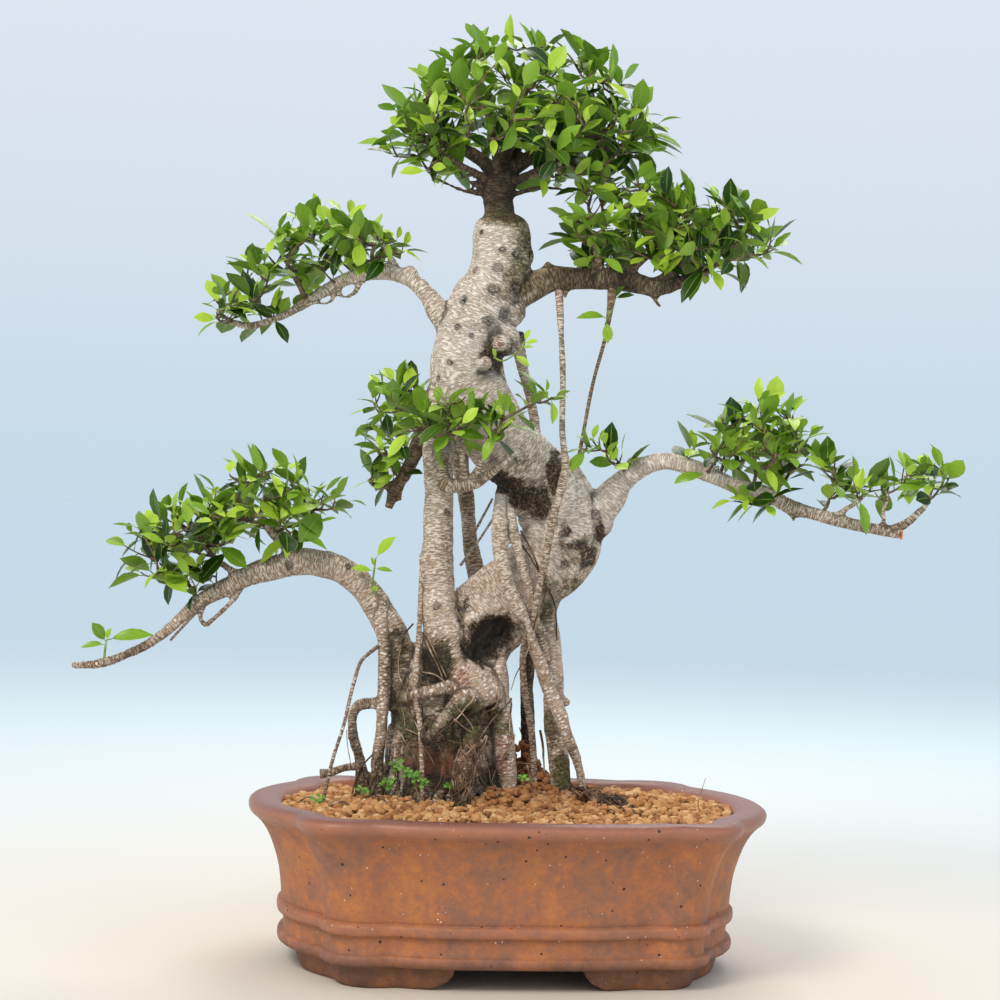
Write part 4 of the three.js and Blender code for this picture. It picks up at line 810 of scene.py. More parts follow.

# %% [markdown]
# ## Bark of a ficus
# The bark is thin and smooth, grey-tan, and dry to the touch, so it is quite rough to light. Over it lie
# whitish lenticels 4 to 8 mm long and 1 mm high, so dense on the upper trunk that it looks woven. On the
# roots they are separate pale dots on a warmer skin. Creases are painted dark, as painted shade, and near the
# soil there is olive moss. The lenticels and the rings between them also stand up a few tenths of a
# millimetre, which a bump gives. Each pattern's scale is one over its size in metres, along and across the limb.

# %% Bark material
def bark_material(name):
    mat = Finish(name, Roughness=0.8)
    limb = mat.read("limb")["Vector"]
    tint = mat.read("marks")
    marks = mat.channels(tint["Color"])
    dusk = mat.read("dusk")["Fac"]
    spot = mat.place()
    height = mat.axes(spot)[2]
    low = mat.span(height, 0.42, 0.26)

    # Lenticels that run across the limb: cells of 5 mm by 0.9 mm.
    dashes = mat.stretched(limb, (200, 200, 1100))
    dash = mat.noise(dashes, 1.0, 1.5, 0.5, 0.35)
    dash = mat.span(dash, 0.47, 0.55)
    # Pale dots: one in each cell of 4.2 mm by 2.5 mm, of all sizes up to the whole cell.
    dots = mat.stretched(limb, (240, 240, 400))
    dots = mat.cells(dots, 1.0)
    dot_size = mat.channels(dots[1])[0]
    dot_size = mat.span(dot_size, 0.1, 1.0, 0.10, 0.50)
    dot = mat.math("SUBTRACT", dot_size, dots[0])
    dot = mat.span(dot, -0.02, 0.07)
    dash_share = mat.span(low, 0.0, 1.0, 0.85, 0.42)
    dash = mat.times(dash, dash_share)
    dot_share = mat.span(low, 0.0, 1.0, 0.35, 0.95)
    dot = mat.times(dot, dot_share)
    fleck = mat.math("MAXIMUM", dash, dot)
    # Rings: bands about 2 mm high that run most of the way round.
    bands = mat.stretched(limb, (24, 24, 520))
    band = mat.noise(bands, 1.0, 3.0)
    # Broad drifts of colour, 3 to 6 cm, and speckle of 2 mm.
    drift = mat.noise(spot, 24.0, 4.0, 0.6)
    grain = mat.noise(spot, 480.0, 4.0, 0.7)

    # The alpha mark is weathering together with painted shade, and it runs the bark from pale to dark brown.
    wear_and_shade = mat.times(drift, 0.5, tint["Alpha"])
    wear_and_shade = mat.math("SUBTRACT", wear_and_shade, 0.25)
    ground = mat.ramp(wear_and_shade, (0.0, "#CBB9A9"), (0.3, "#B6A089"), (0.6, "#7A6348"), (1.0, "#30241A"))
    warm = mat.ramp(wear_and_shade, (0.0, "#BB9E84"), (0.3, "#9A7B5F"), (0.6, "#5E4833"), (1.0, "#241A11"))
    ground = mat.mix(low, ground, warm)
    pale = mat.ramp(wear_and_shade, (0.0, "#F6EADF"), (0.45, "#EADCCB"), (0.75, "#A69374"), (1.0, "#5C4A34"))
    ringed = mat.ramp(band, (0.36, 0.5), (0.6, 1.0))
    ground = mat.darken(0.36, ground, ringed)
    speckled = mat.ramp(grain, (0.34, 0.5), (0.56, 1.0))
    ground = mat.darken(0.5, ground, speckled)
    mossy = mat.noise(spot, 300.0, 5.0, 0.75)
    bend = mat.noise(spot, 190.0, 3.0)
    red = mat.times(marks[2], 0.6, bend)
    red = mat.span(red, 0.7, 1.0, 0.0, 0.85)
    red_tone = mat.mix(grain, "#4E2417", "#B06E4E")
    ground = mat.mix(red, ground, red_tone)
    skin = mat.mix(fleck, ground, pale)

    moss = mat.times(marks[1], 0.55, mossy)
    moss = mat.span(moss, 0.66, 0.98, 0.0, 0.9)
    moss_tone = mat.ramp(grain, (0.38, "#1E1C0C"), (0.5, "#4A4822"), (0.6, "#7C7840"), (0.7, "#A8A36E"))
    skin = mat.mix(moss, skin, moss_tone)
    # Painted shade: creases darken with their depth between the neighbouring bark.
    crease_shade = mat.span(dusk, 0.06, 0.95, 0.0, 0.78)
    skin = mat.mix(crease_shade, skin, "#241A12")

    # A scar: dark eye, dark crease round it, pale raised rim. Its outline is bent by the 5 mm noise.
    far = mat.read("scar")["Fac"]
    far = mat.times(far, 0.4, -0.24)
    far = mat.times(bend, 0.6, far)
    far = mat.times(mossy, 0.5, far)
    eye = mat.ramp(
        far, (0.3, 1.0), (0.4, 1.0), (0.44, 0.25), (0.48, 0.25), (0.53, 1.0), (0.61, 0.75), (0.68, 0.25),
        (0.86, 0.0),
    )
    worn = mat.span(drift, 0.36, 0.56, 0.3)
    worn = mat.times(worn, bend, 0.46)
    eye_share = mat.times(eye, worn)
    skin = mat.mix(eye_share, skin, "#2E2014")

    # Rot: sooty black with brown crumbs, its edge frayed by the same noise as the moss. The deepest rot goes near
    # black, and so does the hollow, whose black is partly soil and moss and partly painted shade.
    rotten = mat.times(marks[0], 0.9, mossy)
    rotten = mat.times(bend, 1.0, rotten)
    rotten = mat.span(rotten, 1.26, 1.6)
    soot = mat.ramp(grain, (0.4, "#17120B"), (0.5, "#3B2D1D"), (0.58, "#6B563C"), (0.68, "#A08A68"))
    black_rot_and_hollow_shade = mat.span(marks[0], 0.84, 0.98, 0.0, 0.85)
    soot = mat.mix(black_rot_and_hollow_shade, soot, "#0D0B07")
    skin = mat.mix(rotten, skin, soot)
    mat.wire("Base Color", skin)

    lift = mat.math("ADD", fleck, band)
    lift = mat.times(eye, -1.5, lift)
    lift = mat.math("ADD", moss, lift)
    lift = mat.times(grain, 2.0, lift)
    mat.bump(lift, 1.0, 0.0007)
    return mat.material


bark = bark_material("ficus_bark")
finish_piece("wood_body", smooth_shaded(wood), TREE_PLACE, bark, ["wood"])

# %% [markdown]
# ## Thin aerial roots and root hair
# A ficus drops roots like strings from its limbs. They hang free until they reach the soil, and then they
# tighten and thicken. The thin ones stay single tubes, since a voxel remesh would lose them. At the base
# the trunk is covered in finer roots still, which cling to it. Each is a walk down the surface: a step
# down, a little sideways, and back to just outside the nearest bark.

# %% Strings that hang from the limbs
def surface_walk(start, rng, steps, stride, sway, lift, fall=1.0):
    """Points of a root that creeps down the wood and then lies on the soil."""
    spot, way = Vector(start), rng.uniform(-1, 1)
    points = []
    for _ in range(steps):
        near, out, _, _ = wood_surface.find_nearest(spot)
        if near is None:
            break
        spot = near + out * lift
        points.append(spot.copy())
        way = 0.8 * way + rng.uniform(-sway, sway)
        side = out.cross(Vector((0, 0, 1)))
        spot = spot + Vector((0, 0, -stride * fall)) + side * way * stride
        if spot.z < soil_height(spot.x, spot.y) - 2:
            break
    return np.array(points)


SOIL_TOP = 125
MOUND_HEIGHT, MOUND_REACH = 21, (150, 80)
HEAP_X, HEAP_Y, HEAP_HEIGHT, HEAP_REACH = 12, 24, 24, 28


def soil_height(x, y):
    """Height of the heaped grains at a place on the tree's own x and y."""
    cos, sin = math.cos(TREE_TURN), math.sin(TREE_TURN)
    px, py = x * cos - y * sin, x * sin + y * cos
    mound = MOUND_HEIGHT * math.exp(-((px / MOUND_REACH[0]) ** 2) - (py / MOUND_REACH[1]) ** 2)
    heap = HEAP_HEIGHT * math.exp(-(((px - HEAP_X) / HEAP_REACH) ** 2) - ((py - HEAP_Y) / HEAP_REACH) ** 2)
    return SOIL_TOP + mound + heap


wood_surface = BVHTree.FromPolygons(places.tolist(), [tuple(p.vertices) for p in wood.polygons])
THIN_WEAR = {"thin_long": 0.5, "thin_slant": 0.74, "thin_front": 0.34, "thin_left": 0.5, "hook_stub": 0.5}
slight = [name for name in STUBS if name in smooth and smooth[name][1].max() < THINNEST_MELTED]
string_names = [name for name in smooth if name in THIN or name in slight]
strings = sweep("strings", [smooth[name] for name in string_names], 10)
address, girth, owner = limb_address(positions(strings), string_names)
tints = np.zeros((len(address), 4))
tints[:, 1] = 0.4 * np.clip((200 - positions(strings)[:, 2]) / 60, 0, 1)
tints[:, 2] = [0.36 if string_names[n].startswith("thin") else 0.0 for n in owner]
tints[:, 3] = [THIN_WEAR.get(string_names[n], 0.5) for n in owner]
store_marks(strings, address, tints, np.full(len(address), FAR_FROM_SCARS), np.zeros(len(address)))
finish_piece("aerial_roots", smooth_shaded(strings), TREE_PLACE, bark)

# %% Roots that show in front, as they lie in the picture
# Thickness and points (x, z) of each, on a plane 40 mm in front of the trunk's middle.
SEEN_ROOTS = [
    (0.9, [(-75, 246), (-64, 244), (-55, 238), (-49, 232), (-51, 224), (-46, 218), (-40, 212), (-33, 204),
           (-29, 196), (-26, 188), (-27, 181), (-29, 172)]),
    (1.2, [(-86, 241), (-86, 226), (-84, 214), (-79, 204), (-74, 193), (-70, 183)]),
    (1.0, [(-77, 231), (-74, 221), (-73, 209), (-71, 194), (-69, 181), (-64, 173), (-61, 166)]),
    (0.6, [(-97, 234), (-92, 222), (-89, 210), (-87, 199)]),
    (0.9, [(-87, 198), (-81, 196), (-76, 193)]),
    (1.2, [(-60, 196), (-52, 191), (-44, 188), (-35, 187), (-26, 185)]),
    (1.1, [(1, 226), (-7, 216), (-14, 209), (-19, 202), (-25, 192), (-28, 184)]),
    (0.8, [(-47, 208), (-43, 200), (-41, 190), (-40, 180)]),
    (0.9, [(-47, 208), (-37, 200), (-29, 196), (-21, 196)]),
    (1.1, [(-28, 187), (-34, 180), (-41, 174), (-45, 167), (-46, 160)]),
    (0.9, [(-40, 182), (-34, 176), (-30, 169)]),
    (1.1, [(-103, 183), (-95, 186), (-85, 189)]),
    (0.9, [(-59, 185), (-55, 177), (-51, 171)]),
    (1.2, [(-31, 162), (-34, 155), (-40, 148), (-47, 143), (-59, 144)]),
    (1.7, [(15, 171), (17, 164), (19, 155), (22, 148)]),
    (0.8, [(7, 173), (14, 172), (26, 172)]),
    (1.0, [(38, 142), (40, 148), (44, 154)]),
    (1.1, [(48, 139), (49, 147), (51, 156)]),
    (1.6, [(-113, 177), (-121, 168), (-126, 158), (-130, 143)]),
    (1.2, [(-123, 165), (-119, 155), (-116, 143)]),
    (0.7, [(-136, 196), (-135, 184), (-133, 174), (-131, 164)]),
    (1.3, [(-83, 286), (-90, 276), (-93, 264), (-94, 251), (-92, 239), (-87, 231)]),
    (1.2, [(-75, 279), (-68, 264), (-61, 251), (-57, 240)]),
    (1.2, [(-72, 279), (-63, 260), (-54, 242)]),
    (1.3, [(-47, 317), (-48, 307), (-47, 297), (-42, 289), (-36, 280)]),
    (0.9, [(-44, 307), (-36, 302), (-28, 296)]),
    (1.1, [(28, 319), (24, 305), (20, 292), (18, 281)]),
    (1.0, [(15, 272), (10, 258), (4, 246), (0, 233)]),
    (1.6, [(26, 330), (22, 309), (19, 284)]),
    (1.3, [(26, 323), (33, 309), (36, 294), (37, 276)]),
    (1.6, [(4, 366), (13, 352), (21, 332)]),
    (1.3, [(6, 354), (14, 343), (20, 332)]),
    (2.2, [(37, 359), (44, 349), (52, 341)]),
]


def laid_on_wood(line, stand_off):
    """Lays a line of the picture on the bark that the camera sees there. It bridges small hollows."""
    flat, _ = smooth_route([(x, -40, z, 1) for x, z in line], 2.5)
    rays = [(Vector(point) - CAMERA_SPOT).normalized() for point in flat]
    depths = []
    for ray in rays:
        hit, _, _, _ = wood_surface.ray_cast(CAMERA_SPOT, ray)
        depths.append(hit.y if hit is not None and hit.y < 30 else depths[-1] if depths else -40.0)
    near = [min(depths[max(0, i - 3):i + 4]) for i in range(len(depths))]
    near = [sum(near[max(0, i - 2):i + 3]) / len(near[max(0, i - 2):i + 3]) for i in range(len(near))]
    return np.array([CAMERA_SPOT + ray * ((y - stand_off - CAMERA_SPOT.y) / ray.y) for ray, y in zip(rays, near)])


hair_routes = []
for number, (thick, line) in enumerate(SEEN_ROOTS):
    path = laid_on_wood(line, 0.4 + 0.5 * (number % 3))
    run = np.linspace(0, 1, len(path))
    hair_routes.append(gnarled(path, 0.56 * thick * (1.15 - 0.4 * run), 300 + number, 0.2, 0.5))
print("roots laid as in the picture", len(hair_routes))

# %% Root hair on the rest of the trunk's foot
WALKS, LONG_WALKS = 60, 18
CREEPERS, ALL_MAT_ROOTS = 44, 110
rng = random.Random(77)
walks = 0
while walks < WALKS:
    long = walks < LONG_WALKS
    z = rng.uniform(176, 240) if long else rng.uniform(148, 196)
    a = rng.uniform(0, math.tau) if rng.random() < 0.4 else rng.uniform(-2.7, -0.7)
    start = Vector((-56 + 66 * math.cos(a), 5 + 62 * math.sin(a), z))
    path = surface_walk(start, rng, rng.randint(9, 24), 5.5, 0.5, rng.uniform(0.8, 5.5) if long else 1.2)
    if len(path) > 4:
        walks += 1
        thick = rng.choice((0.5, 0.6, 0.75, 1.0)) if long else rng.choice((0.4, 0.5, 0.6))
        run = np.linspace(0, 1, len(path))
        hair_routes.append(gnarled(path, thick * (1.1 - 0.5 * run), len(hair_routes), 0.2, 1.2))
# A tangle of fine dark roots has crept out over the grains at the right, and a few pale ones at the left.
mat_routes = []
for _ in range(CREEPERS):
    x, y = rng.uniform(52, 84), rng.uniform(-34, -10)
    heading, points = rng.uniform(-0.6, 0.5), []
    for _ in range(rng.randint(5, 11)):
        points.append((x, y, soil_height(x, y) + rng.uniform(1.5, 14) * (1 - (x - 52) / 78)))
        heading += rng.uniform(-0.5, 0.5)
        x, y = x + 4.6 * math.cos(heading), y + 4.6 * math.sin(heading)
    thick = rng.choice((0.5, 0.7, 0.9, 1.3))
    mat_routes.append((np.array(points), np.linspace(thick, 0.45 * thick, len(points))))
# Finer ones, still damp and dark, mat the front of the foot.
while len(mat_routes) < ALL_MAT_ROOTS:
    start = Vector((rng.uniform(-104, -4), -70, rng.uniform(150, 196)))
    path = surface_walk(start, rng, rng.randint(6, 14), 4.5, 0.9, rng.uniform(0.6, 3.5), 0.8)
    if len(path) > 3:
        mat_routes.append(gnarled(path, np.linspace(0.55, 0.3, len(path)), len(mat_routes), 0.2, 1.6))
for x, y, heading in ((-152, -48, 2.6), (-150, -52, -0.5), (-116, -34, -1.2)):
    points = []
    for step in range(9):
        points.append((x, y, soil_height(x, y) + 2 + 6 * math.sin(math.pi * step / 8)))
        x, y = x + 4.5 * math.cos(heading), y + 4.5 * math.sin(heading)
        heading += rng.uniform(-0.25, 0.25)
    hair_routes.append((np.array(points), np.linspace(1.0, 0.6, len(points))))
# One stiff hair stands up beside the right hand roots.
stiff_hair = [(164, -20, 128, 0.5), (160, -20, 140, 0.45), (163, -20, 152, 0.35), (166, -20, 162, 0.25)]
hair_routes.append(smooth_route(stiff_hair))
print("root hairs", len(hair_routes), "and mat roots", len(mat_routes))


# %% Root hair material
def hair_material(name, tones):
    # Root hair is matt and brown, paler where it has dried: streaks of 8 mm in patches of 30 mm.
    mat = Finish(name, Roughness=0.85)
    spot = mat.place()
    patch = mat.noise(spot, 34.0, 1.0)
    streak = mat.noise(spot, 130.0, 3.0)
    mixed = mat.between(0.45, patch, streak)
    colour = mat.ramp(mixed, *zip((0.38, 0.46, 0.54, 0.64), tones))
    mat.wire("Base Color", colour)
    mat.bump(streak, 0.5, 0.0004)
    return mat.material


for name, routes, tones in (
    ("root_hair", hair_routes, ("#38261B", "#624834", "#967C65", "#C6B29B")),
    ("root_mat", mat_routes, ("#2A1C13", "#4A3323", "#755A42", "#A48C70")),
):
    hair = smooth_shaded(sweep(name, routes, 6))
    finish_piece(name, hair, TREE_PLACE, hair_material(name, tones))

# %% The sawn end of the lower right limb
shape = bmesh.new()
bmesh.ops.create_cone(shape, cap_ends=True, segments=28, radius1=4.9, radius2=4.5, depth=1.6)
rims = [e for e in shape.edges if abs(e.verts[0].co.z - e.verts[1].co.z) < 0.1]
bmesh.ops.bevel(shape, geom=rims, offset=0.4, segments=2, profile=0.5, affect="EDGES", material=-1)
sawn = bpy.data.meshes.new("sawn_end")
shape.to_mesh(sawn)
shape.free()
sawn.transform(Matrix.Translation(CUT_SPOT - Vector((2.6, 0, 0.3))) @ Matrix.Rotation(math.radians(90), 4, "Y"))
# Fresh ficus wood is orange where it was cut, with darker streaks and dried white sap.
mat = Finish("fresh_cut_wood", Roughness=0.7)
ring = mat.noise(mat.place(), 420.0, 3.0)
tone = mat.ramp(ring, (0.3, "#A9531F"), (0.6, "#E08A42"), (0.8, "#F0C08A"))
mat.wire("Base Color", tone)
finish_piece("sawn_end", sawn, TREE_PLACE, mat.material)

# %% [markdown]
# ## One leaf, made well
# A ficus leaf is leathery: an egg-shaped blade with a short pointed tip, folded a little along its midrib
# and arched down. The blade has two skins that meet in a thin edge, the lower one paler. It is a grid
# pulled into that outline, copied, turned over and welded along its rim. There will be over two thousand
# of them, so each has only some fifty faces. Its UV map runs across and along the blade, for the veins,
# and a colour attribute holds its tone, its youth and which skin it is.

# %% Leaf shapes
# Stations of a blade from stalk to tip: share of its length, share of its half width.
BLADE = [(0, 0), (0.10, 0.38), (0.28, 0.80), (0.52, 1.0), (0.74, 0.80), (0.90, 0.32), (1, 0)]
STALK = 0.16
SKIN = 0.014


def leaf_shape(width, fold, droop, sway, tone, youth):
    """One leaf of length 1 plus its stalk, along +Y from the origin, its upper skin towards +Z."""
    shape = bmesh.new()
    bmesh.ops.create_grid(shape, x_segments=4, y_segments=len(BLADE) - 1, size=0.5)
    uv = shape.loops.layers.uv.new("blade")
    tint = shape.loops.layers.float_color.new("leaf")
    address = {}
    for vert in shape.verts:
        across, row = 2 * vert.co.x, round((vert.co.y + 0.5) * (len(BLADE) - 1))
        along, half = BLADE[row]
        half *= width / 2
        lift = fold * abs(across) * half - 0.5 * fold * half * across**2 - droop * along**2
        vert.co = (across * half + sway * along**2, STALK + along, lift)
        address[vert] = (across, along)
    for face in shape.faces:
        for loop in face.loops:
            across, along = address[loop.vert]
            loop[uv].uv = ((across + 1) / 2, along)
            loop[tint] = (tone, youth, 0, 1)
    copy = bmesh.ops.duplicate(shape, geom=shape.faces[:] + shape.edges[:] + shape.verts[:])
    under = [g for g in copy["geom"] if isinstance(g, bmesh.types.BMFace)]
    bmesh.ops.reverse_faces(shape, faces=under)
    for old, new in copy["vert_map"].items():
        if old in address and new not in address:
            across, along = address[old]
            new.co.z -= SKIN * (1 - across**2) * math.sin(math.pi * along)
    for face in under:
        for loop in face.loops:
            loop[tint] = (tone, youth, 1, 1)
    bmesh.ops.remove_doubles(shape, verts=shape.verts, dist=1e-5)
    for edge in shape.edges:
        skins = {round(loop[tint][2]) for loop in edge.link_loops}
        edge.smooth = len(skins) < 2
    stalk = bmesh.ops.create_cone(
        shape, segments=3, radius1=0.026, radius2=0.016, depth=STALK + 0.04,
        matrix=Matrix.Translation((0, STALK / 2, -0.006)) @ Matrix.Rotation(math.radians(-90), 4, "X"),
    )
    for face in {f for v in stalk["verts"] for f in v.link_faces}:
        for loop in face.loops:
            loop[uv].uv = (0.5, 0.02)
            loop[tint] = (tone, youth, 0.5, 1)
    mesh = bpy.data.meshes.new("leaf")
    shape.to_mesh(mesh)
    shape.free()
    return smooth_shaded(mesh)


# Width, fold, droop and sideways sway, all for a length of 1.
LEAF_FORMS = [
    (0.50, 0.40, 0.14, 0.00), (0.44, 0.30, 0.30, 0.06), (0.60, 0.28, 0.08, -0.04), (0.40, 0.55, 0.40, -0.09),
    (0.54, 0.15, 0.20, 0.03), (0.47, 0.75, 0.16, 0.07), (0.64, 0.22, 0.12, 0.00), (0.42, 0.45, 0.46, 0.10),
]
LEAF_TINTS = [(0.0, 0.0), (0.25, 0.0), (0.6, 0.1), (0.9, 0.2), (0.8, 0.45), (0.9, 0.75), (1.0, 1.0)]
leaf_models = {
    (form, tint): leaf_shape(*LEAF_FORMS[form], *LEAF_TINTS[tint])
    for form in range(len(LEAF_FORMS)) for tint in range(len(LEAF_TINTS))
}
print("faces on one leaf", len(leaf_models[0, 0].polygons))

# %% [markdown]
# ## Pads of foliage
# The tree is pruned into clouds, called pads. Branchlets rise from the limb all along it and fork again and
# again, and their tips spread over a low dome. The golden angle spreads the tips evenly, as it does the
# seeds of a sunflower. Each new shoot starts from the nearest wood below it, be it the limb or an older
# shoot, so the twigs fork like real ones. A twig's thickness follows from how many shoots it carries.

# %% Pads: limbs that feed each one, its domes, and the solids it stands for
# A dome is (middle, reach in x, y and z, how far down it goes from 1 at its top to -1, number of shoots).
PADS = {
    "crown": (
        ["crown_stem", "crown_limb_1", "crown_limb_2", "crown_limb_3", "crown_limb_4", "crown_limb_5",
         "crown_limb_6", "crown_limb_7"],
        [((-5, 0, 702), (91, 65, 76), -0.2, 138), ((-92, 0, 696), (26, 30, 30), -0.6, 16),
         ((88, -4, 702), (27, 32, 30), -0.6, 18), ((-5, 6, 700), (66, 40, 28), -0.4, 18),
         ((-68, 0, 734), (22, 32, 16), 0.0, 8), ((60, -2, 746), (22, 32, 16), 0.0, 9),
         ((-74, -8, 668), (20, 22, 10), -0.6, 7), ((44, -12, 668), (34, 24, 12), -0.6, 14)],
        ["crown_top", "crown_front", "crown_back", "crown_left", "crown_right"], 28.5, 11,
    ),
    "upper_right": (
        ["upper_right_limb", "fan_right_1", "fan_right_2", "fan_right_3"],
        [((90, -10, 624), (52, 50, 40), -0.3, 60), ((166, -10, 614), (48, 42, 36), -0.4, 40),
         ((112, -14, 598), (62, 38, 14), -0.5, 26), ((74, -12, 654), (36, 32, 12), -0.3, 14),
         ((146, -10, 634), (40, 34, 14), 0.0, 10)],
        ["upper_right_inner", "upper_right_middle", "upper_right_outer"], 28.5, 21,
    ),
    "upper_left": (
        ["upper_left_limb", "bare_twig_upper_left"],
        [((-169, 10, 605), (45, 36, 30), -0.1, 31), ((-214, 13, 580), (26, 30, 22), -0.2, 12),
         ((-240, 15, 547), (34, 32, 18), -0.4, 18), ((-112, 2, 602), (12, 12, 10), -0.3, 6),
         ((-152, 6, 590), (32, 24, 8), -0.6, 8)],
        ["upper_left_inner", "upper_left_middle", "upper_left_outer"], 26, 31,
    ),
    "lower_left": (
        ["left_limb", "spur_left_limb", "spur_left_limb_low"],
        [((-215, -12, 376), (46, 44, 40), -0.42, 50), ((-296, -14, 350), (34, 38, 24), -0.4, 24),
         ((-262, -14, 360), (32, 38, 28), -0.3, 18), ((-158, -8, 380), (16, 24, 16), 0.0, 7),
         ((-284, -16, 322), (32, 20, 8), -0.6, 8)],
        ["lower_left_inner", "lower_left_middle", "lower_left_outer", "lower_left_tip"], 28, 41,
    ),
    "back": (
        ["back_limb", "back_prong_left"],
        [((-104, 44, 472), (24, 28, 25), -0.3, 21), ((-110, 54, 436), (15, 24, 20), -0.4, 13),
         ((-116, 58, 411), (12, 20, 10), -0.6, 6)],
        ["back_upper", "back_lower"], 25, 51,
    ),
    "front": (
        ["front_knob", "front_twig_1", "front_twig_2", "front_twig_3"],
        [((-42, -56, 448), (44, 24, 28), -0.15, 27), ((22, -62, 470), (12, 10, 11), 0.2, 6),
         ((-84, -54, 442), (12, 16, 16), 0.0, 7)],
        ["front_left", "front_middle", "front_right"], 26.5, 61,
    ),
    "elbow": (
        ["lower_right_limb", "trunk"],
        [((64, -32, 434), (11, 10, 12), 0.1, 5), ((84, -20, 424), (9, 9, 9), 0.1, 3),
         ((146, -14, 436), (7, 8, 5), -0.2, 2)],
        ["elbow_shoot", "limb_shoot"], 24.5, 81,
    ),
    "lower_right": (
        ["lower_right_limb", "end_twig", "upright_twig_right", "slant_twig_right"],
        [((207, -12, 442), (42, 38, 38), -0.4, 58), ((200, -24, 396), (18, 12, 6), -0.8, 6),
         ((288, -12, 404), (24, 20, 12), -0.1, 14), ((345, -12, 418), (23, 22, 13), -0.3, 14),
         ((256, -14, 424), (16, 18, 10), 0.0, 6)],
        ["lower_right_inner", "lower_right_middle", "lower_right_outer", "lower_right_tip"], 27, 71,
    ),
}
print(len(PADS), "pads with", sum(count for pad in PADS.values() for *_, count in pad[1]), "shoots")

# %% Shoots that fork, and the leaves along them
GOLDEN_ANGLE = math.pi * (3 - math.sqrt(5))


def dome_tips(domes, seed):
    """Places of the shoot tips: on each dome's shell, and some way inside it."""
    rng = random.Random(seed)
    for middle, reach, low, count in domes:
        for k in range(count):
            height = 1 - (k + 0.5) / count * (1 - low)
            turn = k * GOLDEN_ANGLE + seed
            around = math.sqrt(max(0.0, 1 - height * height))
            out = Vector((around * math.cos(turn), around * math.sin(turn), height))
            fill = rng.choice((0.6, 0.8, 0.92, 1.0, 1.0, 1.08))
            yield Vector(middle) + Vector(a * b for a, b in zip(reach, out)) * fill


def grown_shoots(limbs, domes, seed):
    """Shoot paths that fork from the limbs and from each other, and the number of each one's parent."""
    rng = random.Random(seed + 1)
    forks = [(Vector(spot), None) for name in limbs for spot in smooth[name][0][8::3]]
    roots = [fork for fork, _ in forks]
    tips = sorted(dome_tips(domes, seed), key=lambda tip: min((fork - tip).length for fork in roots))
    paths, parents = [], []
    for tip in tips:
        def cost(fork):
            reach = (fork[0] - tip).length
            return reach + 1.3 * max(0.0, fork[0].z - tip.z + 0.25 * reach) + (40 if reach < 11 else 0)
        start, parent = min(forks, key=cost)
        span = (tip - start).length
        swing = Vector((rng.uniform(-0.14, 0.14), rng.uniform(-0.14, 0.14), rng.uniform(-0.2, 0.02))) * span
        count = max(6, round(span / 6))
        path = [start.lerp(tip, t) + swing * math.sin(math.pi * t) for t in np.linspace(0, 1, count)]
        forks += [(spot, len(paths)) for spot in path[2:-1:2]]
        paths.append(path)
        parents.append(parent)
    return paths, parents


def twig_widths(paths, parents):
    """Radius at the foot and the tip of each path: twigs that carry more shoots are thicker."""
    load = [1] * len(paths)
    for k in reversed(range(len(paths))):
        if parents[k] is not None:
            load[parents[k]] += load[k]
    return [(min(3.0, 0.62 + 0.36 * n**0.62), min(1.4, 0.5 + 0.06 * n)) for n in load]


DIVERGENCE = math.radians(137.5)  # turn from one leaf to the next
LEAFY_LENGTH = 30.0
LEAF_EVERY = 6


def leaf_places(path, size, middle, rng):
    """(matrix, form, tint) of the leaves along the outer 3 cm of one shoot."""
    span = (path[-1] - path[0]).length
    green = min(0.72 * span, LEAFY_LENGTH)
    leaves = max(3, round(green / LEAF_EVERY) + rng.choice((0, 1, 1, 2)))
    phase = rng.uniform(0, math.tau)
    outward = path[-1] - middle
    outward.normalize()
    for i in range(leaves):
        share = i / (leaves - 1)
        at = (1 - green / span * (1 - share)) * (len(path) - 1)
        low = min(int(at), len(path) - 2)
        along = (path[low + 1] - path[low]).normalized()
        spot = path[low].lerp(path[low + 1], at - low)
        across = along.orthogonal().normalized()
        out = Matrix.Rotation(phase + i * DIVERGENCE, 3, along) @ across
        spread = math.radians(74 - 36 * share**2 + rng.uniform(-22, 22))
        axis = along * math.cos(spread) + out * math.sin(spread)
        axis.z += rng.uniform(-0.1, 0.45)
        axis.normalize()
        loose = Vector((rng.uniform(-0.5, 0.5), rng.uniform(-0.5, 0.5), rng.uniform(-0.3, 0.3)))
        face = along * 0.35 + outward * 0.35 + Vector((0, 0, 0.7)) + loose
        up = (face - axis * face.dot(axis)).normalized()
        side = axis.cross(up)
        young = i >= leaves - 2
        length = size * rng.uniform(0.72, 1.22) * ((0.6 if i == leaves - 1 else 0.8) if young else 1.0)
        turn = Matrix((side, axis, up)).transposed().to_4x4()
        # The darkest tint goes to leaves partly by age, low on a shoot, and partly as painted shade, on the lower
        # side of the pad.
        shade_and_age = 0.9 * rng.random() + 0.5 * (outward.z < 0.25) + 0.3 * (share < 0.4)
        tint = rng.choice((3, 4, 5, 5, 6, 6)) if young else 0 if shade_and_age > 0.95 else rng.choice((1, 1, 2, 3, 3, 4, 5))
        yield Matrix.Translation(spot) @ turn @ Matrix.Scale(length, 4), rng.randrange(len(LEAF_FORMS)), tint


def clear_of_wood(matrix):
    """True where the middle and the tip of a leaf stand clear of the wood."""
    for share in (0.6, 1.05):
        spot = matrix @ Vector((0, share, 0))
        near, out, _, gap = wood_surface.find_nearest(spot)
        if gap < CLEAR_OF_WOOD or (spot - near).dot(out) < 0:
            return False
    return True


def scattered(name, models, placements):
    """One mesh with a moved copy of a small model for every placement."""
    shape = bmesh.new()
    for matrix, key in placements:
        copy = models[key].copy()
        copy.transform(matrix)
        shape.from_mesh(copy, face_normals=False, vertex_normals=False)
        bpy.data.meshes.remove(copy)
    return as_mesh(shape, name)


print("a shoot turns", round(math.degrees(GOLDEN_ANGLE), 1), "degrees from the one before")

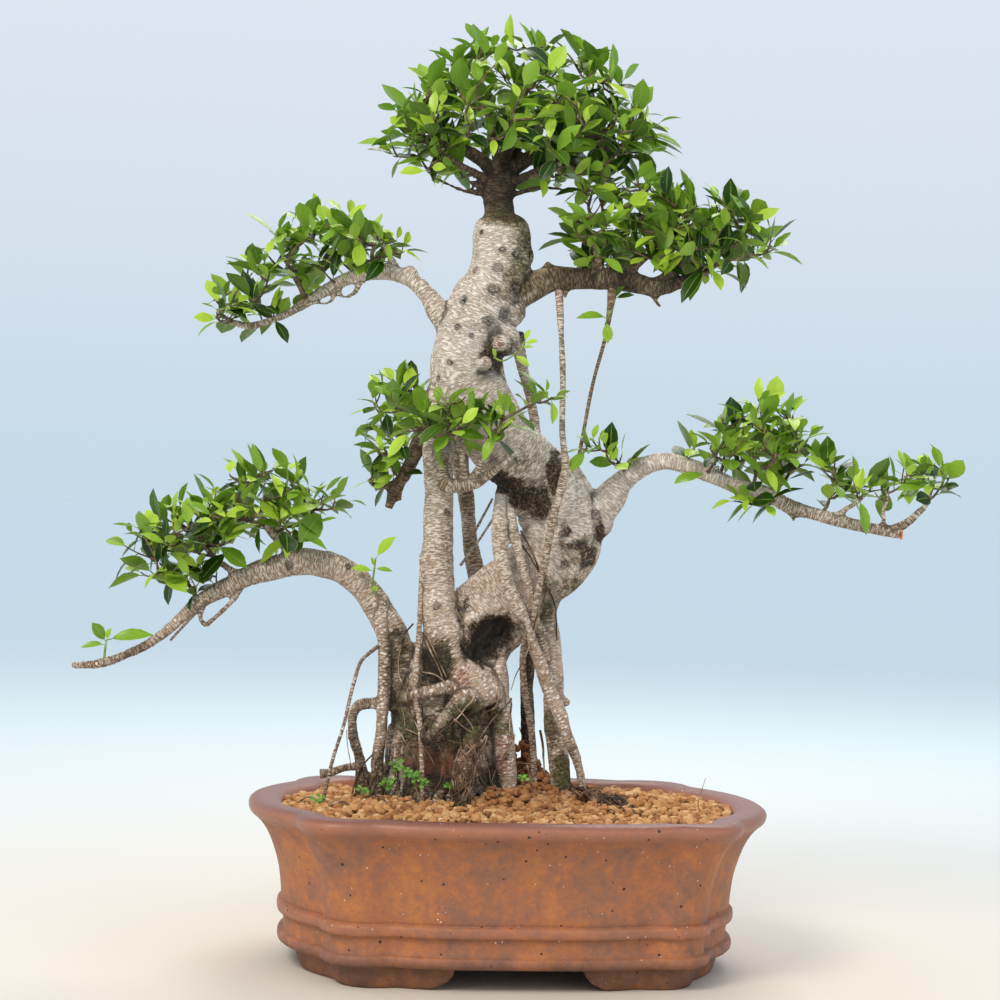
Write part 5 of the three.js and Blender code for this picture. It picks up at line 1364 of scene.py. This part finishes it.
# %% Grow the pads
CROWDED = 5.8  # mm between the middles of two leaves
CLEAR_OF_WOOD = 2.5
pad_meshes, leaf_total = {}, 0
for pad, (limbs, domes, nodes, size, seed) in PADS.items():
    rng = random.Random(seed + 500)
    paths, parents = grown_shoots(limbs, domes, seed)
    twigs, placements, middles = [], [], []
    pad_middle = sum((Vector(dome[0]) for dome in domes), Vector()) / len(domes) - Vector((0, 0, 20))
    for number, (path, (foot, tip)) in enumerate(zip(paths, twig_widths(paths, parents))):
        widths = foot + (tip - foot) * np.linspace(0, 1, len(path)) ** 0.7
        twigs.append(gnarled(np.array(path), widths, seed + number, 0.14, 0.7 if foot < 1.6 else 0.35))
        for matrix, form, tint in leaf_places(path, size, pad_middle, rng):
            middle = matrix @ Vector((0, 0.55, 0))
            if any((middle - other).length_squared < CROWDED**2 for other in middles):
                continue
            if clear_of_wood(matrix):
                middles.append(middle)
                placements.append((matrix, (form, tint)))
    leaf_total += len(placements)
    pad_meshes[pad] = (scattered(pad, leaf_models, placements), sweep(pad, twigs, 6), nodes)
    print(pad, len(paths), "shoots,", len(placements), "leaves")

# %% Single shoots with few leaves
# Each is a green stem, as (x, y, z, radius), and its leaves: place along it, heading x, y, z, length, tint.
FEW_LEAVES = {
    "burl_shoot": (
        [(-22, -34, 510, 0.9), (-15, -38, 507, 0.8), (-7, -38, 511, 0.7), (1, -36, 519, 0.6), (3, -35, 524, 0.5)],
        [(0.98, (0.4, -0.3, 1), 10, 6), (0.95, (1, -0.4, 0.25), 11, 6), (0.8, (0.8, -0.4, 0.1), 9, 5),
         (0.55, (1, -0.5, -0.55), 15, 5), (0.04, (-0.3, -0.8, 1), 9, 6)],
    ),
    "root_shoot": (
        [(79, -6, 566, 1.2), (77, -10, 556, 0.9), (73, -12, 547, 0.7), (71, -12, 541, 0.6)],
        [(0.05, (0.9, -0.5, 0.4), 15, 1), (0.1, (0.3, -0.8, 0.8), 14, 1), (0.75, (-1, -0.5, 0.25), 23, 3),
         (0.85, (0.1, -0.4, -1), 17, 4), (0.98, (0.5, -0.4, -0.8), 12, 5)],
    ),
    "bend_shoot": (
        [(-118, -9, 304, 1.1), (-119, -13, 318, 0.9), (-118, -14, 330, 0.8), (-117, -14, 339, 0.6)],
        [(0.98, (0.55, -0.3, 0.8), 22, 5), (0.7, (1, -0.4, 0.05), 13, 3), (0.66, (-1, -0.4, 0.15), 17, 5),
         (0.8, (-0.3, -0.6, 0.9), 8, 5), (0.35, (0.4, -0.8, -0.3), 9, 4)],
    ),
    "tip_shoot": (
        [(-343, -20, 245, 1.3), (-342, -22, 256, 1.0), (-341, -22, 264, 0.7)],
        [(0.95, (1, -0.2, 0.3), 32, 3), (0.9, (-0.5, -0.3, 0.85), 18, 2), (0.75, (-1, -0.4, 0.15), 17, 3),
         (0.98, (0.25, -0.5, 0.85), 11, 5)],
    ),
}
for name, (route, leaves) in FEW_LEAVES.items():
    points, widths = smooth_route(route, 2.0)
    placements = []
    for share, heading, length, tint in leaves:
        at = Vector(points[round(share * (len(points) - 1))])
        axis = Vector(heading).normalized()
        up = Vector((0, -0.75, 0.65))
        up = (up - axis * up.dot(axis)).normalized()
        turn = Matrix((axis.cross(up), axis, up)).transposed().to_4x4()
        placements.append((Matrix.Translation(at) @ turn @ Matrix.Scale(length, 4), (tint % 6, tint)))
    leaf_total += len(placements)
    nodes = [name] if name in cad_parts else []
    pad_meshes[name] = (scattered(name, leaf_models, placements), sweep(name, [(points, widths)], 6), nodes)
print("leaves", leaf_total)

# %% [markdown]
# ## Leaf and twig finishes
# A mature leaf is dark to mid green with a waxy shine, so its highlights are sharp but it isn't a mirror.
# A young one is lime and softer. The midrib and the margin are pale, and twelve pairs of side veins show. Light
# shines through a blade, so part of the shader is Translucent: a leaf lit from behind glows yellow-green.
# Twigs are brown, and green only in their first weeks, so just the single new shoots have green stems.

# %% Leaf material
def leaf_material(name, dark, mid, lime, roughness, through):
    mat = Finish(name, Roughness=roughness, Specular_IOR_Level=0.38)
    parts = mat.channels(mat.read("leaf")["Color"])
    blade = mat.axes(mat.add("UVMap", uv_map="blade")[0])
    spot = mat.place()
    patch = mat.noise(spot, 60.0, 2.0)
    old = mat.mix(parts[0], dark, mid)
    green = mat.mix(parts[1], old, lime)
    patched = mat.ramp(patch, (0.35, 0.75), (0.6, 1.0))
    green = mat.darken(0.5, green, patched)

    off = mat.math("SUBTRACT", blade[0], 0.5)
    off = mat.math("ABSOLUTE", off)
    rib = mat.span(off, 0.012, 0.04, 1.0, 0.0)
    margin = mat.span(off, 0.455, 0.495, 0.0, 0.5)
    # Side veins lean forward: twelve pairs along the blade.
    lean = mat.times(off, -0.55, blade[1])
    vein = mat.times(lean, math.tau * 12)
    vein = mat.math("SINE", vein)
    vein = mat.span(vein, 0.75, 1.0)
    veins = mat.times(vein, 0.22, rib)
    veined = mat.times(veins, 0.55)
    green = mat.mix(veined, green, "#A9C65C")
    green = mat.mix(margin, green, "#C9DD7E")
    under = mat.times(parts[2], 0.5)
    green = mat.mix(under, green, "#8DB14E")
    mat.wire("Base Color", green)
    mat.bump(veins, 0.35, 0.0004, invert=True)

    glow = mat.mix(0.45, green, "#B6DB34")
    shine = mat.add("BsdfTranslucent", {"Color": glow})[0]
    both = mat.add("MixShader", {0: through, 1: mat.shader.outputs[0], 2: shine})[0]
    mat.feed(mat.tree.nodes["Material Output"].inputs["Surface"], both)
    return mat.material


def twig_material(name, tones):
    # Young ficus wood: brown bark, satin, with small pale dots and darker leaf scars. A new shoot is green.
    mat = Finish(name, Roughness=0.65)
    spot = mat.place()
    tone = mat.noise(spot, 130.0, 3.0)
    colour = mat.ramp(tone, *zip((0.3, 0.5, 0.68), tones))
    mat.wire("Base Color", colour)
    mat.bump(tone, 0.5, 0.0006)
    return mat.material


waxy_leaf = leaf_material("waxy_ficus_leaf", "#183D0B", "#80B42E", "#C4E448", 0.26, 0.28)
twig_bark = twig_material("twig_bark", ("#33281C", "#5E4A36", "#8A745A"))
green_stem = twig_material("green_stem", ("#4E6A26", "#6E8A36", "#8FA650"))
for pad, (leaf_mesh, twig_mesh, sprays) in pad_meshes.items():
    finish_piece(f"leaves_{pad}", leaf_mesh, TREE_PLACE, waxy_leaf, sprays)
    stem = green_stem if pad in FEW_LEAVES else twig_bark
    finish_piece(f"twigs_{pad}", smooth_shaded(twig_mesh), TREE_PLACE, stem)

# %% [markdown]
# ## The pot
# The pot is pressed stoneware: eight lobes that meet in soft valleys, a flaring wall, a rolled lip, and two
# rounded belts near the foot. Its wall profile is spun into a round tub first, because spin closes itself
# and keeps its rings even. Then every ring is moved onto the lobed plan, drawn in by the profile's inset.
# The feet are spun in the same way, and bars cut the gaps between them.

# %% Lobed plan of the pot, in millimetres
POT_HALF = (219, 165)
DEPTH_DRAW = 0.9
FRONT_NOTCH, END_NOTCH, CORNER_BULGE = (120, 151), (181, 110), 22


def lobe(start, end, bulge, steps, squareness):
    """Points of one lobe: flat in the middle and steep at its ends for a high squareness."""
    (x0, y0), (x1, y1) = start, end
    dx, dy = x1 - x0, y1 - y0
    chord = math.hypot(dx, dy)
    for i in range(steps):
        t = i / steps
        out = bulge * (1 - abs(2 * t - 1) ** squareness)
        yield x0 + dx * t + dy / chord * out, y0 + dy * t - dx / chord * out


def lobed_plan():
    fx, fy = FRONT_NOTCH
    ex, ey = END_NOTCH
    front, end = POT_HALF[1] - fy, POT_HALF[0] - ex
    corners = [(ex, -ey), (ex, ey), (fx, fy), (-fx, fy), (-ex, ey), (-ex, -ey), (-fx, -fy), (fx, -fy)]
    bulges = [end, CORNER_BULGE, front, CORNER_BULGE] * 2
    steps, squareness = [34, 22, 44, 22] * 2, [2.4, 2.2, 4.5, 2.2] * 2
    points = []
    for i, corner in enumerate(corners):
        points += lobe(corner, corners[(i + 1) % 8], bulges[i], steps[i], squareness[i])
    plan = np.array(points)
    return (np.roll(plan, 1, 0) + 2 * plan + np.roll(plan, -1, 0)) / 4


PLAN = lobed_plan()
print("plan of the pot", np.ptp(PLAN, axis=0).round(), "mm")

# %% Spin the pot and its feet, then cut and join them
SPIN_RADIUS = 200.0
# (inset, height) from below, round the belts and the lip, and down the inner wall.
POT_PROFILE = [
    (47, 18), (36, 18), (32.4, 18.2), (29.2, 18.8), (27.4, 20.4), (26.8, 22.8), (26.9, 25.2), (27.6, 27),
    (28.4, 27.8), (31.4, 28.1), (31.9, 28.7), (31.8, 34), (31.4, 39), (31, 42.2), (30.6, 42.8), (27.7, 43.1),
    (26.5, 44.2), (26, 46.2), (26, 49), (26.5, 51.2), (27.5, 52.2), (30.2, 52.5), (30.6, 53), (30, 54),
    (29.4, 56), (28.9, 62), (28, 71), (26.6, 80),
    (24.6, 88), (22, 96), (19, 104), (15.6, 111), (12, 116.6), (8.6, 120.6), (5.6, 123.4), (3.2, 125.2),
    (1.5, 127), (0.4, 129.6), (0.1, 132), (1.0, 134.4), (3.2, 136.2), (6.4, 137.2), (10, 137.5), (15, 137.4),
    (19.6, 137), (23.4, 136), (26.2, 134.2), (28, 131.6), (28.8, 128.4), (30.4, 120), (33, 104), (36.4, 80),
    (39.4, 56), (41.2, 38), (43, 32.4), (47, 30),
]
FOOT_PROFILE = [
    (38, 19.5), (38.4, 14), (39.6, 8), (41, 3.4), (42.2, 1), (44, 0), (61, 0), (63.2, 1), (64, 3), (64, 19.5),
]


def spun_on_plan(profile, closed):
    """A profile spun round the upright axis and moved onto the lobed plan."""
    shape = bmesh.new()
    verts = [shape.verts.new((SPIN_RADIUS - inset, 0, z)) for inset, z in profile]
    for a, b in zip(verts, verts[1:] + (verts[:1] if closed else [])):
        shape.edges.new((a, b))
    bmesh.ops.spin(shape, geom=shape.verts[:] + shape.edges[:], cent=(0, 0, 0), axis=(0, 0, 1),
                   angle=math.tau, steps=len(PLAN), use_merge=True)
    for vert in shape.verts:
        number = round(math.atan2(vert.co.y, vert.co.x) / math.tau * len(PLAN)) % len(PLAN)
        inset = SPIN_RADIUS - math.hypot(vert.co.x, vert.co.y)
        x, y = PLAN[number]
        vert.co.x = x * (1 - inset / POT_HALF[0])
        vert.co.y = y * (1 - DEPTH_DRAW * inset / POT_HALF[1])
    if not closed:
        bmesh.ops.holes_fill(shape, edges=[e for e in shape.edges if e.is_boundary], sides=0)
    bmesh.ops.recalc_face_normals(shape, faces=shape.faces)
    return shape


def foot_gap(half_top, half_low, reach):
    """A bar through the foot ring, wider below, with soft shoulders."""
    shape = bmesh.new()
    right = [(half_low, -1), (half_low - 9, 2.2), (half_top + 6, 7), (half_top + 1.5, 12), (half_top, 18)]
    outline = right + [(-x, z) for x, z in reversed(right)]
    face = shape.faces.new([shape.verts.new((x, -reach, z)) for x, z in outline])
    swept = bmesh.ops.extrude_face_region(shape, geom=[face])
    moved = [g for g in swept["geom"] if isinstance(g, bmesh.types.BMVert)]
    bmesh.ops.translate(shape, verts=moved, vec=(0, 2 * reach, 0))
    bmesh.ops.recalc_face_normals(shape, faces=shape.faces)
    return shape


def carved(mesh, cutters, operation="DIFFERENCE"):
    """The mesh with boolean cutters taken from it, or joined to it."""
    holder = bpy.data.objects.new("carving", mesh)
    scene.collection.objects.link(holder)
    tools = []
    for number, cutter in enumerate(cutters):
        tool = bpy.data.objects.new(f"cutter_{number}", as_mesh(cutter, "cutter"))
        scene.collection.objects.link(tool)
        step = holder.modifiers.new("cut", "BOOLEAN")
        step.operation, step.solver, step.object = operation, "MANIFOLD", tool
        tools.append(tool)
    view = holder.evaluated_get(bpy.context.evaluated_depsgraph_get())
    result = bpy.data.meshes.new_from_object(view)
    for thing in [holder, *tools]:
        bpy.data.objects.remove(thing)
    return result


DRAIN_X, DRAIN_RADIUS = 95, 13


def drain_bore(x):
    shape = bmesh.new()
    bmesh.ops.create_cone(shape, cap_ends=True, segments=36, radius1=DRAIN_RADIUS, radius2=DRAIN_RADIUS,
                          depth=40, matrix=Matrix.Translation((x, 0, 24)))
    return shape


side_gap = foot_gap(34, 50, 240)
bmesh.ops.rotate(side_gap, verts=side_gap.verts, matrix=Matrix.Rotation(math.radians(90), 3, "Z"))
feet = carved(as_mesh(spun_on_plan(FOOT_PROFILE, True), "feet"), [foot_gap(52, 76, 200), side_gap])
body = carved(as_mesh(spun_on_plan(POT_PROFILE, False), "pot"), [drain_bore(x) for x in (-DRAIN_X, DRAIN_X)])
shape = bmesh.new()
shape.from_mesh(feet)
pot = carved(body, [shape], "UNION")
print("pot", len(pot.polygons), "faces")

# %% [markdown]
# ## Unglazed stoneware
# The clay was fired without glaze in a kiln whose flame turned it rust orange in some places and purplish
# grey in others. Iron in it burnt out into small black pits, and grit shows as white specks.
# The lip and the belts were smoothed with a wet sponge, so they are finer and catch a soft shine. Water
# and soil have darkened the feet. Every scale below comes from such a size in millimetres.

# %% Stoneware material
def stoneware_material():
    mat = Finish("unglazed_stoneware", Roughness=0.55)
    spot = mat.place()
    height = mat.axes(spot)[2]
    cloud = mat.noise(spot, 24.0, 6.0, 0.68)
    fine = mat.noise(spot, 110.0, 6.0, 0.75)
    mottle = mat.between(0.5, cloud, fine)
    clay = mat.ramp(mottle, (0.34, "#7E584A"), (0.44, "#92644D"), (0.52, "#A86A45"), (0.62, "#BC7740"))
    # Sand in the clay: a salt of paler and darker grains a millimetre wide.
    sand = mat.noise(spot, 800.0, 3.0, 0.8)
    sand = mat.ramp(sand, (0.34, 0.5), (0.5, 1.0))
    clay = mat.darken(0.35, clay, sand)
    # Sponged parts: the lip above 122 mm and the two belts.
    lip = mat.span(height, 0.119, 0.127)
    belts = mat.ramp(
        height, (0.0, 0.0), (0.0185, 0.0), (0.023, 0.75), (0.0285, 0.0), (0.043, 0.0), (0.0465, 0.75),
        (0.0525, 0.0),
    )
    sponged = mat.math("MAXIMUM", lip, belts)
    part = mat.times(sponged, 0.62)
    clay = mat.mix(part, clay, "#9A6552")
    top = mat.span(height, 0.133, 0.1365, 0.0, 0.8)
    clay = mat.mix(top, clay, "#774A3F")

    # Iron pits 8 mm apart and up to 2.7 mm wide, and white grit half as wide.
    pits = mat.cells(spot, 125.0)
    pit_size = mat.channels(pits[1])[0]
    pit_edge = mat.span(pit_size, 0.45, 1.0, 0.0, 0.17)
    pit = mat.math("LESS_THAN", pits[0], pit_edge)
    grit = mat.cells(spot, 190.0)
    grit_size = mat.channels(grit[1])[1]
    grit_edge = mat.span(grit_size, 0.5, 1.0, 0.0, 0.13)
    speck = mat.math("LESS_THAN", grit[0], grit_edge)
    clay = mat.mix(pit, clay, "#2E211C")
    clay = mat.mix(speck, clay, "#D9CDBE")

    # Damp and soil: blotches on the feet and up to the first belt.
    blotch = mat.noise(spot, 40.0, 6.0, 0.7)
    low = mat.span(height, 0.018, 0.06, 1.0, 0.0)
    soiled = mat.times(blotch, 0.9, low)
    soiled = mat.span(soiled, 1.1, 1.62)
    soiled = mat.times(soiled, 0.85)
    clay = mat.mix(soiled, clay, "#3F2F27")
    mat.wire("Base Color", clay)

    gloss = mat.span(sponged, 0.0, 1.0, 0.58, 0.34)
    gloss = mat.times(fine, 0.18, gloss)
    mat.wire("Roughness", gloss)
    skin = mat.noise(spot, 420.0, 3.0)
    lift = mat.times(pit, -1.6, skin)
    lift = mat.times(fine, 1.5, lift)
    mat.bump(lift, 0.45, 0.0005)
    return mat.material


finish_piece("stoneware_pot", smooth_shaded(pot), POT_PLACE, stoneware_material(), ["pot"])

# %% [markdown]
# ## Baked clay grains
# The tree stands in akadama, a clay that is baked and broken into grains of 5 to 8 mm. Dry it is ochre, and
# wet it is reddish brown. The solid bed of the model stays below as the ground, darkened as painted shade in
# the gaps between grains. On it lie some three thousand grains, a few lumpy models copied with other turns
# and sizes. A grain is a cube split once and rounded unevenly, which is a few dozen faces.

# %% Grain shapes
def grain_shape(seed, tone):
    shape = bmesh.new()
    bmesh.ops.create_cube(shape, size=1.4)
    bmesh.ops.subdivide_edges(shape, edges=shape.edges[:], cuts=1, use_grid_fill=True)
    layer = shape.verts.layers.float_color.new("grain")
    rng = random.Random(seed)
    for vert in shape.verts:
        lump = 0.80 + 0.3 * noise.noise(vert.co * 1.1 + Vector((seed * 7.1, 0, 0))) + rng.uniform(-0.13, 0.13)
        vert.co = vert.co.normalized() * lump + 0.16 * vert.co
        vert.co.z *= 0.86
        vert[layer] = (tone, rng.random(), 0, 1)
    return as_mesh(shape, "grain")


GRAIN_TONES = [0.0, 0.25, 0.5, 0.75, 1.0]
grain_models = {(s, t): grain_shape(s, GRAIN_TONES[t]) for s in range(6) for t in range(5)}
soil_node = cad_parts["soil"]
bed_spots = [tuple(v.co) for v in soil_node.data.vertices]
bed = BVHTree.FromPolygons(bed_spots, [tuple(p.vertices) for p in soil_node.data.polygons])
TO_TREE = TREE_PLACE.inverted() @ POT_PLACE
placements = []
rng = random.Random(9)
GRAIN_PITCH = 5.7  # mm between neighbours, so that 6 mm grains touch
ROW_PITCH = GRAIN_PITCH * 0.87 * 1.02
GRAIN_ROWS, GRAIN_COLUMNS = range(-25, 26), range(-35, 36)
BED_LOW = 0.118  # m: below it the bed is its hidden side and not its top
for j in GRAIN_ROWS:
    for i in GRAIN_COLUMNS:
        x = (i + 0.5 * (j % 2)) * GRAIN_PITCH + rng.uniform(-1.5, 1.5)
        y = j * ROW_PITCH + rng.uniform(-1.5, 1.5)
        hit, _, _, _ = bed.ray_cast(POT_PLACE @ Vector((x, y, 400)), Vector((0, 0, -1)))
        if hit is None or hit.z < BED_LOW:
            continue
        radius = rng.choice((2.3, 2.6, 3.0, 3.3, 3.6, 4.0, 4.6))
        spot = POT_PLACE.inverted() @ hit + Vector((0, 0, radius * rng.uniform(0.1, 0.95)))
        off = math.hypot(x - HEAP_X, y - HEAP_Y)
        if off < 24:  # the heap between the roots is piled two or three grains high
            spot.z += rng.uniform(0, 16) * math.exp(-(off**2) / 200)
        at_tree = TO_TREE @ spot
        near, out, _, gap = wood_surface.find_nearest(at_tree)
        if (at_tree - near).dot(out) < 0 and gap > 1.5:
            continue
        turn = Matrix.Rotation(rng.uniform(0, math.tau), 4, "Z") @ Matrix.Rotation(rng.uniform(-0.6, 0.6), 4, "X")
        tone = rng.choice((0, 1, 1, 2, 2, 2, 3, 3)) if rng.random() < 0.985 else 4
        placements.append((Matrix.Translation(spot) @ turn @ Matrix.Scale(radius, 4), (rng.randrange(6), tone)))
grains = scattered("grains", grain_models, placements)
print("grains", len(placements))

# %% Akadama material
def akadama_material(name, unshaded_share):
    # Porous baked clay: fully rough, powdery, mottled at 3 mm.
    mat = Finish(name, Roughness=0.92)
    parts = mat.channels(mat.read("grain")["Color"])
    spot = mat.place()
    mottle = mat.noise(spot, 330.0, 4.0, 0.65)
    mixed = mat.times(mottle, 0.5, parts[0])
    mixed = mat.times(mixed, 0.72)
    dry = mat.ramp(
        mixed, (0.1, "#80522F"), (0.3, "#A87444"), (0.5, "#C08E59"), (0.72, "#D0A470"), (0.88, "#DED0B0"),
    )
    # Grains on the wet heap behind the front roots are redder and darker.
    heap = tuple(POT_PLACE @ Vector((14, 10, 150)))
    far = mat.add("VectorMath", {0: spot, 1: heap}, operation="DISTANCE")[1]
    patch = mat.noise(spot, 26.0, 2.0)
    far = mat.times(patch, 0.09, far)
    wet = mat.span(far, 0.07, 0.15, 0.75, 0.0)
    damp = mat.mix(mottle, "#5E2F16", "#9A5B2A")
    colour = mat.mix(wet, dry, damp)
    # Painted shade: the bed under the grains is darkened, so the gaps between grains look deep.
    colour = mat.mix(1 - unshaded_share, colour, "#3A2314")
    mat.wire("Base Color", colour)
    mat.bump(mottle, 0.8, 0.0008)
    return mat.material


finish_piece("clay_grains", grains, POT_PLACE, akadama_material("akadama", 1.0))
dress_solid("soil", akadama_material("akadama_dust", 0.35))

# %% [markdown]
# ## Small weeds and the drain nets
# A little clover has seeded itself at the foot of the trunk. Its leaflets are round leaves of the same
# model, three to a stalk, thin and dull. Over the two drain holes lie squares of black plastic net, which
# the model has right, so they only get a finish.

# %% Clover and nets
clover_models = [leaf_shape(0.98, 0.3, 0.1, 0.0, 0.5, t / 4) for t in range(5)]
LEAFLET_SIZES = (2.9, 4.1)  # mm
# Tufts as (x, y, z, stalks, spread).
HERB_ROOTS = {
    "herb_front": [
        (-95, -40, 164, 4, 6), (-86, -45, 161, 3, 5), (-78, -51, 157, 4, 5), (-71, -54, 153, 3, 4),
        (-100, -38, 149, 5, 6), (-48, -60, 150, 2, 3), (12, -30, 155, 2, 3), (-121, -36, 142, 2, 4),
    ],
    "herb_left": [(-159, -44, 133, 4, 6)],
}
weed_leaf = leaf_material("clover_leaf", "#35761F", "#579C34", "#82BC4A", 0.55, 0.25)
for herb, roots in HERB_ROOTS.items():
    leaflets, stalks = [], []
    rng = random.Random(len(herb))
    for x, y, z, count, spread in roots:
        for k in range(count):
            turn = k * GOLDEN_ANGLE
            reach = spread * math.sqrt((k + 0.6) / count)
            top = Vector((x + reach * math.cos(turn), y - 3, z + 0.7 * reach * math.sin(turn) + 4))
            middle = Vector((x, y, z)).lerp(top, 0.5) + Vector((0, 0, 2))
            stalks.append(smooth_route([(x, y + 4, z - 6, 0.5), (*middle, 0.45), (*top, 0.4)], 3))
            tilt = Matrix.Rotation(rng.uniform(0.3, 1.0), 4, "X") @ Matrix.Rotation(rng.uniform(-0.4, 0.4), 4, "Y")
            for leaflet in range(3):
                spin = Matrix.Rotation(leaflet * math.tau / 3 + turn, 4, "Z")
                size = Matrix.Scale(rng.uniform(*LEAFLET_SIZES), 4)
                leaflets.append((Matrix.Translation(top) @ tilt @ spin @ size, rng.randrange(5)))
    clover = scattered(herb, clover_models, leaflets)
    finish_piece(f"{herb}_leaflets", clover, TREE_PLACE, weed_leaf, [herb])
    finish_piece(f"{herb}_stalks", smooth_shaded(sweep(herb, stalks, 6)), TREE_PLACE, weed_leaf)

# Extruded polyethylene net: black, dull, a little dusty.
mat = Finish("polyethylene_net", Roughness=0.6)
dust = mat.noise(mat.place(), 220.0, 4.0)
tone = mat.ramp(dust, (0.4, "#1E201E"), (0.7, "#4A4238"))
mat.wire("Base Color", tone)
for net in ("drain_net_left", "drain_net_right"):
    dress_solid(net, mat.material)

# %% [markdown]
# ## Floor and light
# A pale floor without an edge: it is cream round the pot and takes the pale blue of the room further off, so
# no horizon shows. A large soft lamp high at the front left is the key, a weaker one at the right opens the
# shadows, and one above and behind rims the leaves.

# %% Floor, room and lamps
FLOOR_RADIUS = 70  # m
LAMP_AIM = Vector((0, 0, 0.42))
shape = bmesh.new()
bmesh.ops.create_circle(shape, cap_ends=True, segments=96, radius=FLOOR_RADIUS)
floor = bpy.data.objects.new("floor", as_mesh(shape, "floor"))
scene.collection.objects.link(floor)
mat = Finish("pale_floor", Roughness=0.8)
away = mat.add("VectorMath", {0: mat.place()}, operation="LENGTH")[1]
away = mat.times(away, 0.1)
fading = mat.ramp(away, (0.03, "#DAD1C4"), (0.1, "#D7DAD6"), (0.2, "#D6E3E5"), (0.5, "#DFEEF2"), (0.9, "#E3F1F5"))
mat.wire("Base Color", fading)
floor.data.materials.append(mat.material)

world = bpy.data.worlds.new("pale_room")
scene.world = world
world.use_nodes = True
mat = Nodes(world.node_tree)
slope = mat.axes(mat.add("TexCoord")[0])[2]
sky = mat.ramp(slope, (0.0, "#C6DAE8"), (0.03, "#C9DBE8"), (0.12, "#D6E2EE"), (0.25, "#E0E8F4"), (1.0, "#DAE3EF"))
background = mat.tree.nodes["Background"]
mat.feed(background.inputs["Color"], sky)
mat.feed(background.inputs["Strength"], 1.0)


def lamp(name, spot, size, power, colour="#FFFFFF"):
    light = bpy.data.lights.new(name, "AREA")
    light.size, light.energy, light.color = size, power, paint(colour)[:3]
    holder = bpy.data.objects.new(name, light)
    scene.collection.objects.link(holder)
    holder.location = spot
    holder.rotation_euler = (LAMP_AIM - Vector(spot)).to_track_quat("-Z", "Y").to_euler()


lamp("key", (-1.5, -1.9, 2.3), 1.1, 58, "#FFF3E2")
lamp("fill", (1.9, -1.7, 1.0), 1.7, 6, "#FFF6EC")
lamp("rim", (0.5, 1.5, 2.3), 1.4, 30, "#FFFAF2")
scene.view_settings.view_transform = "Standard"
print("lamps set")
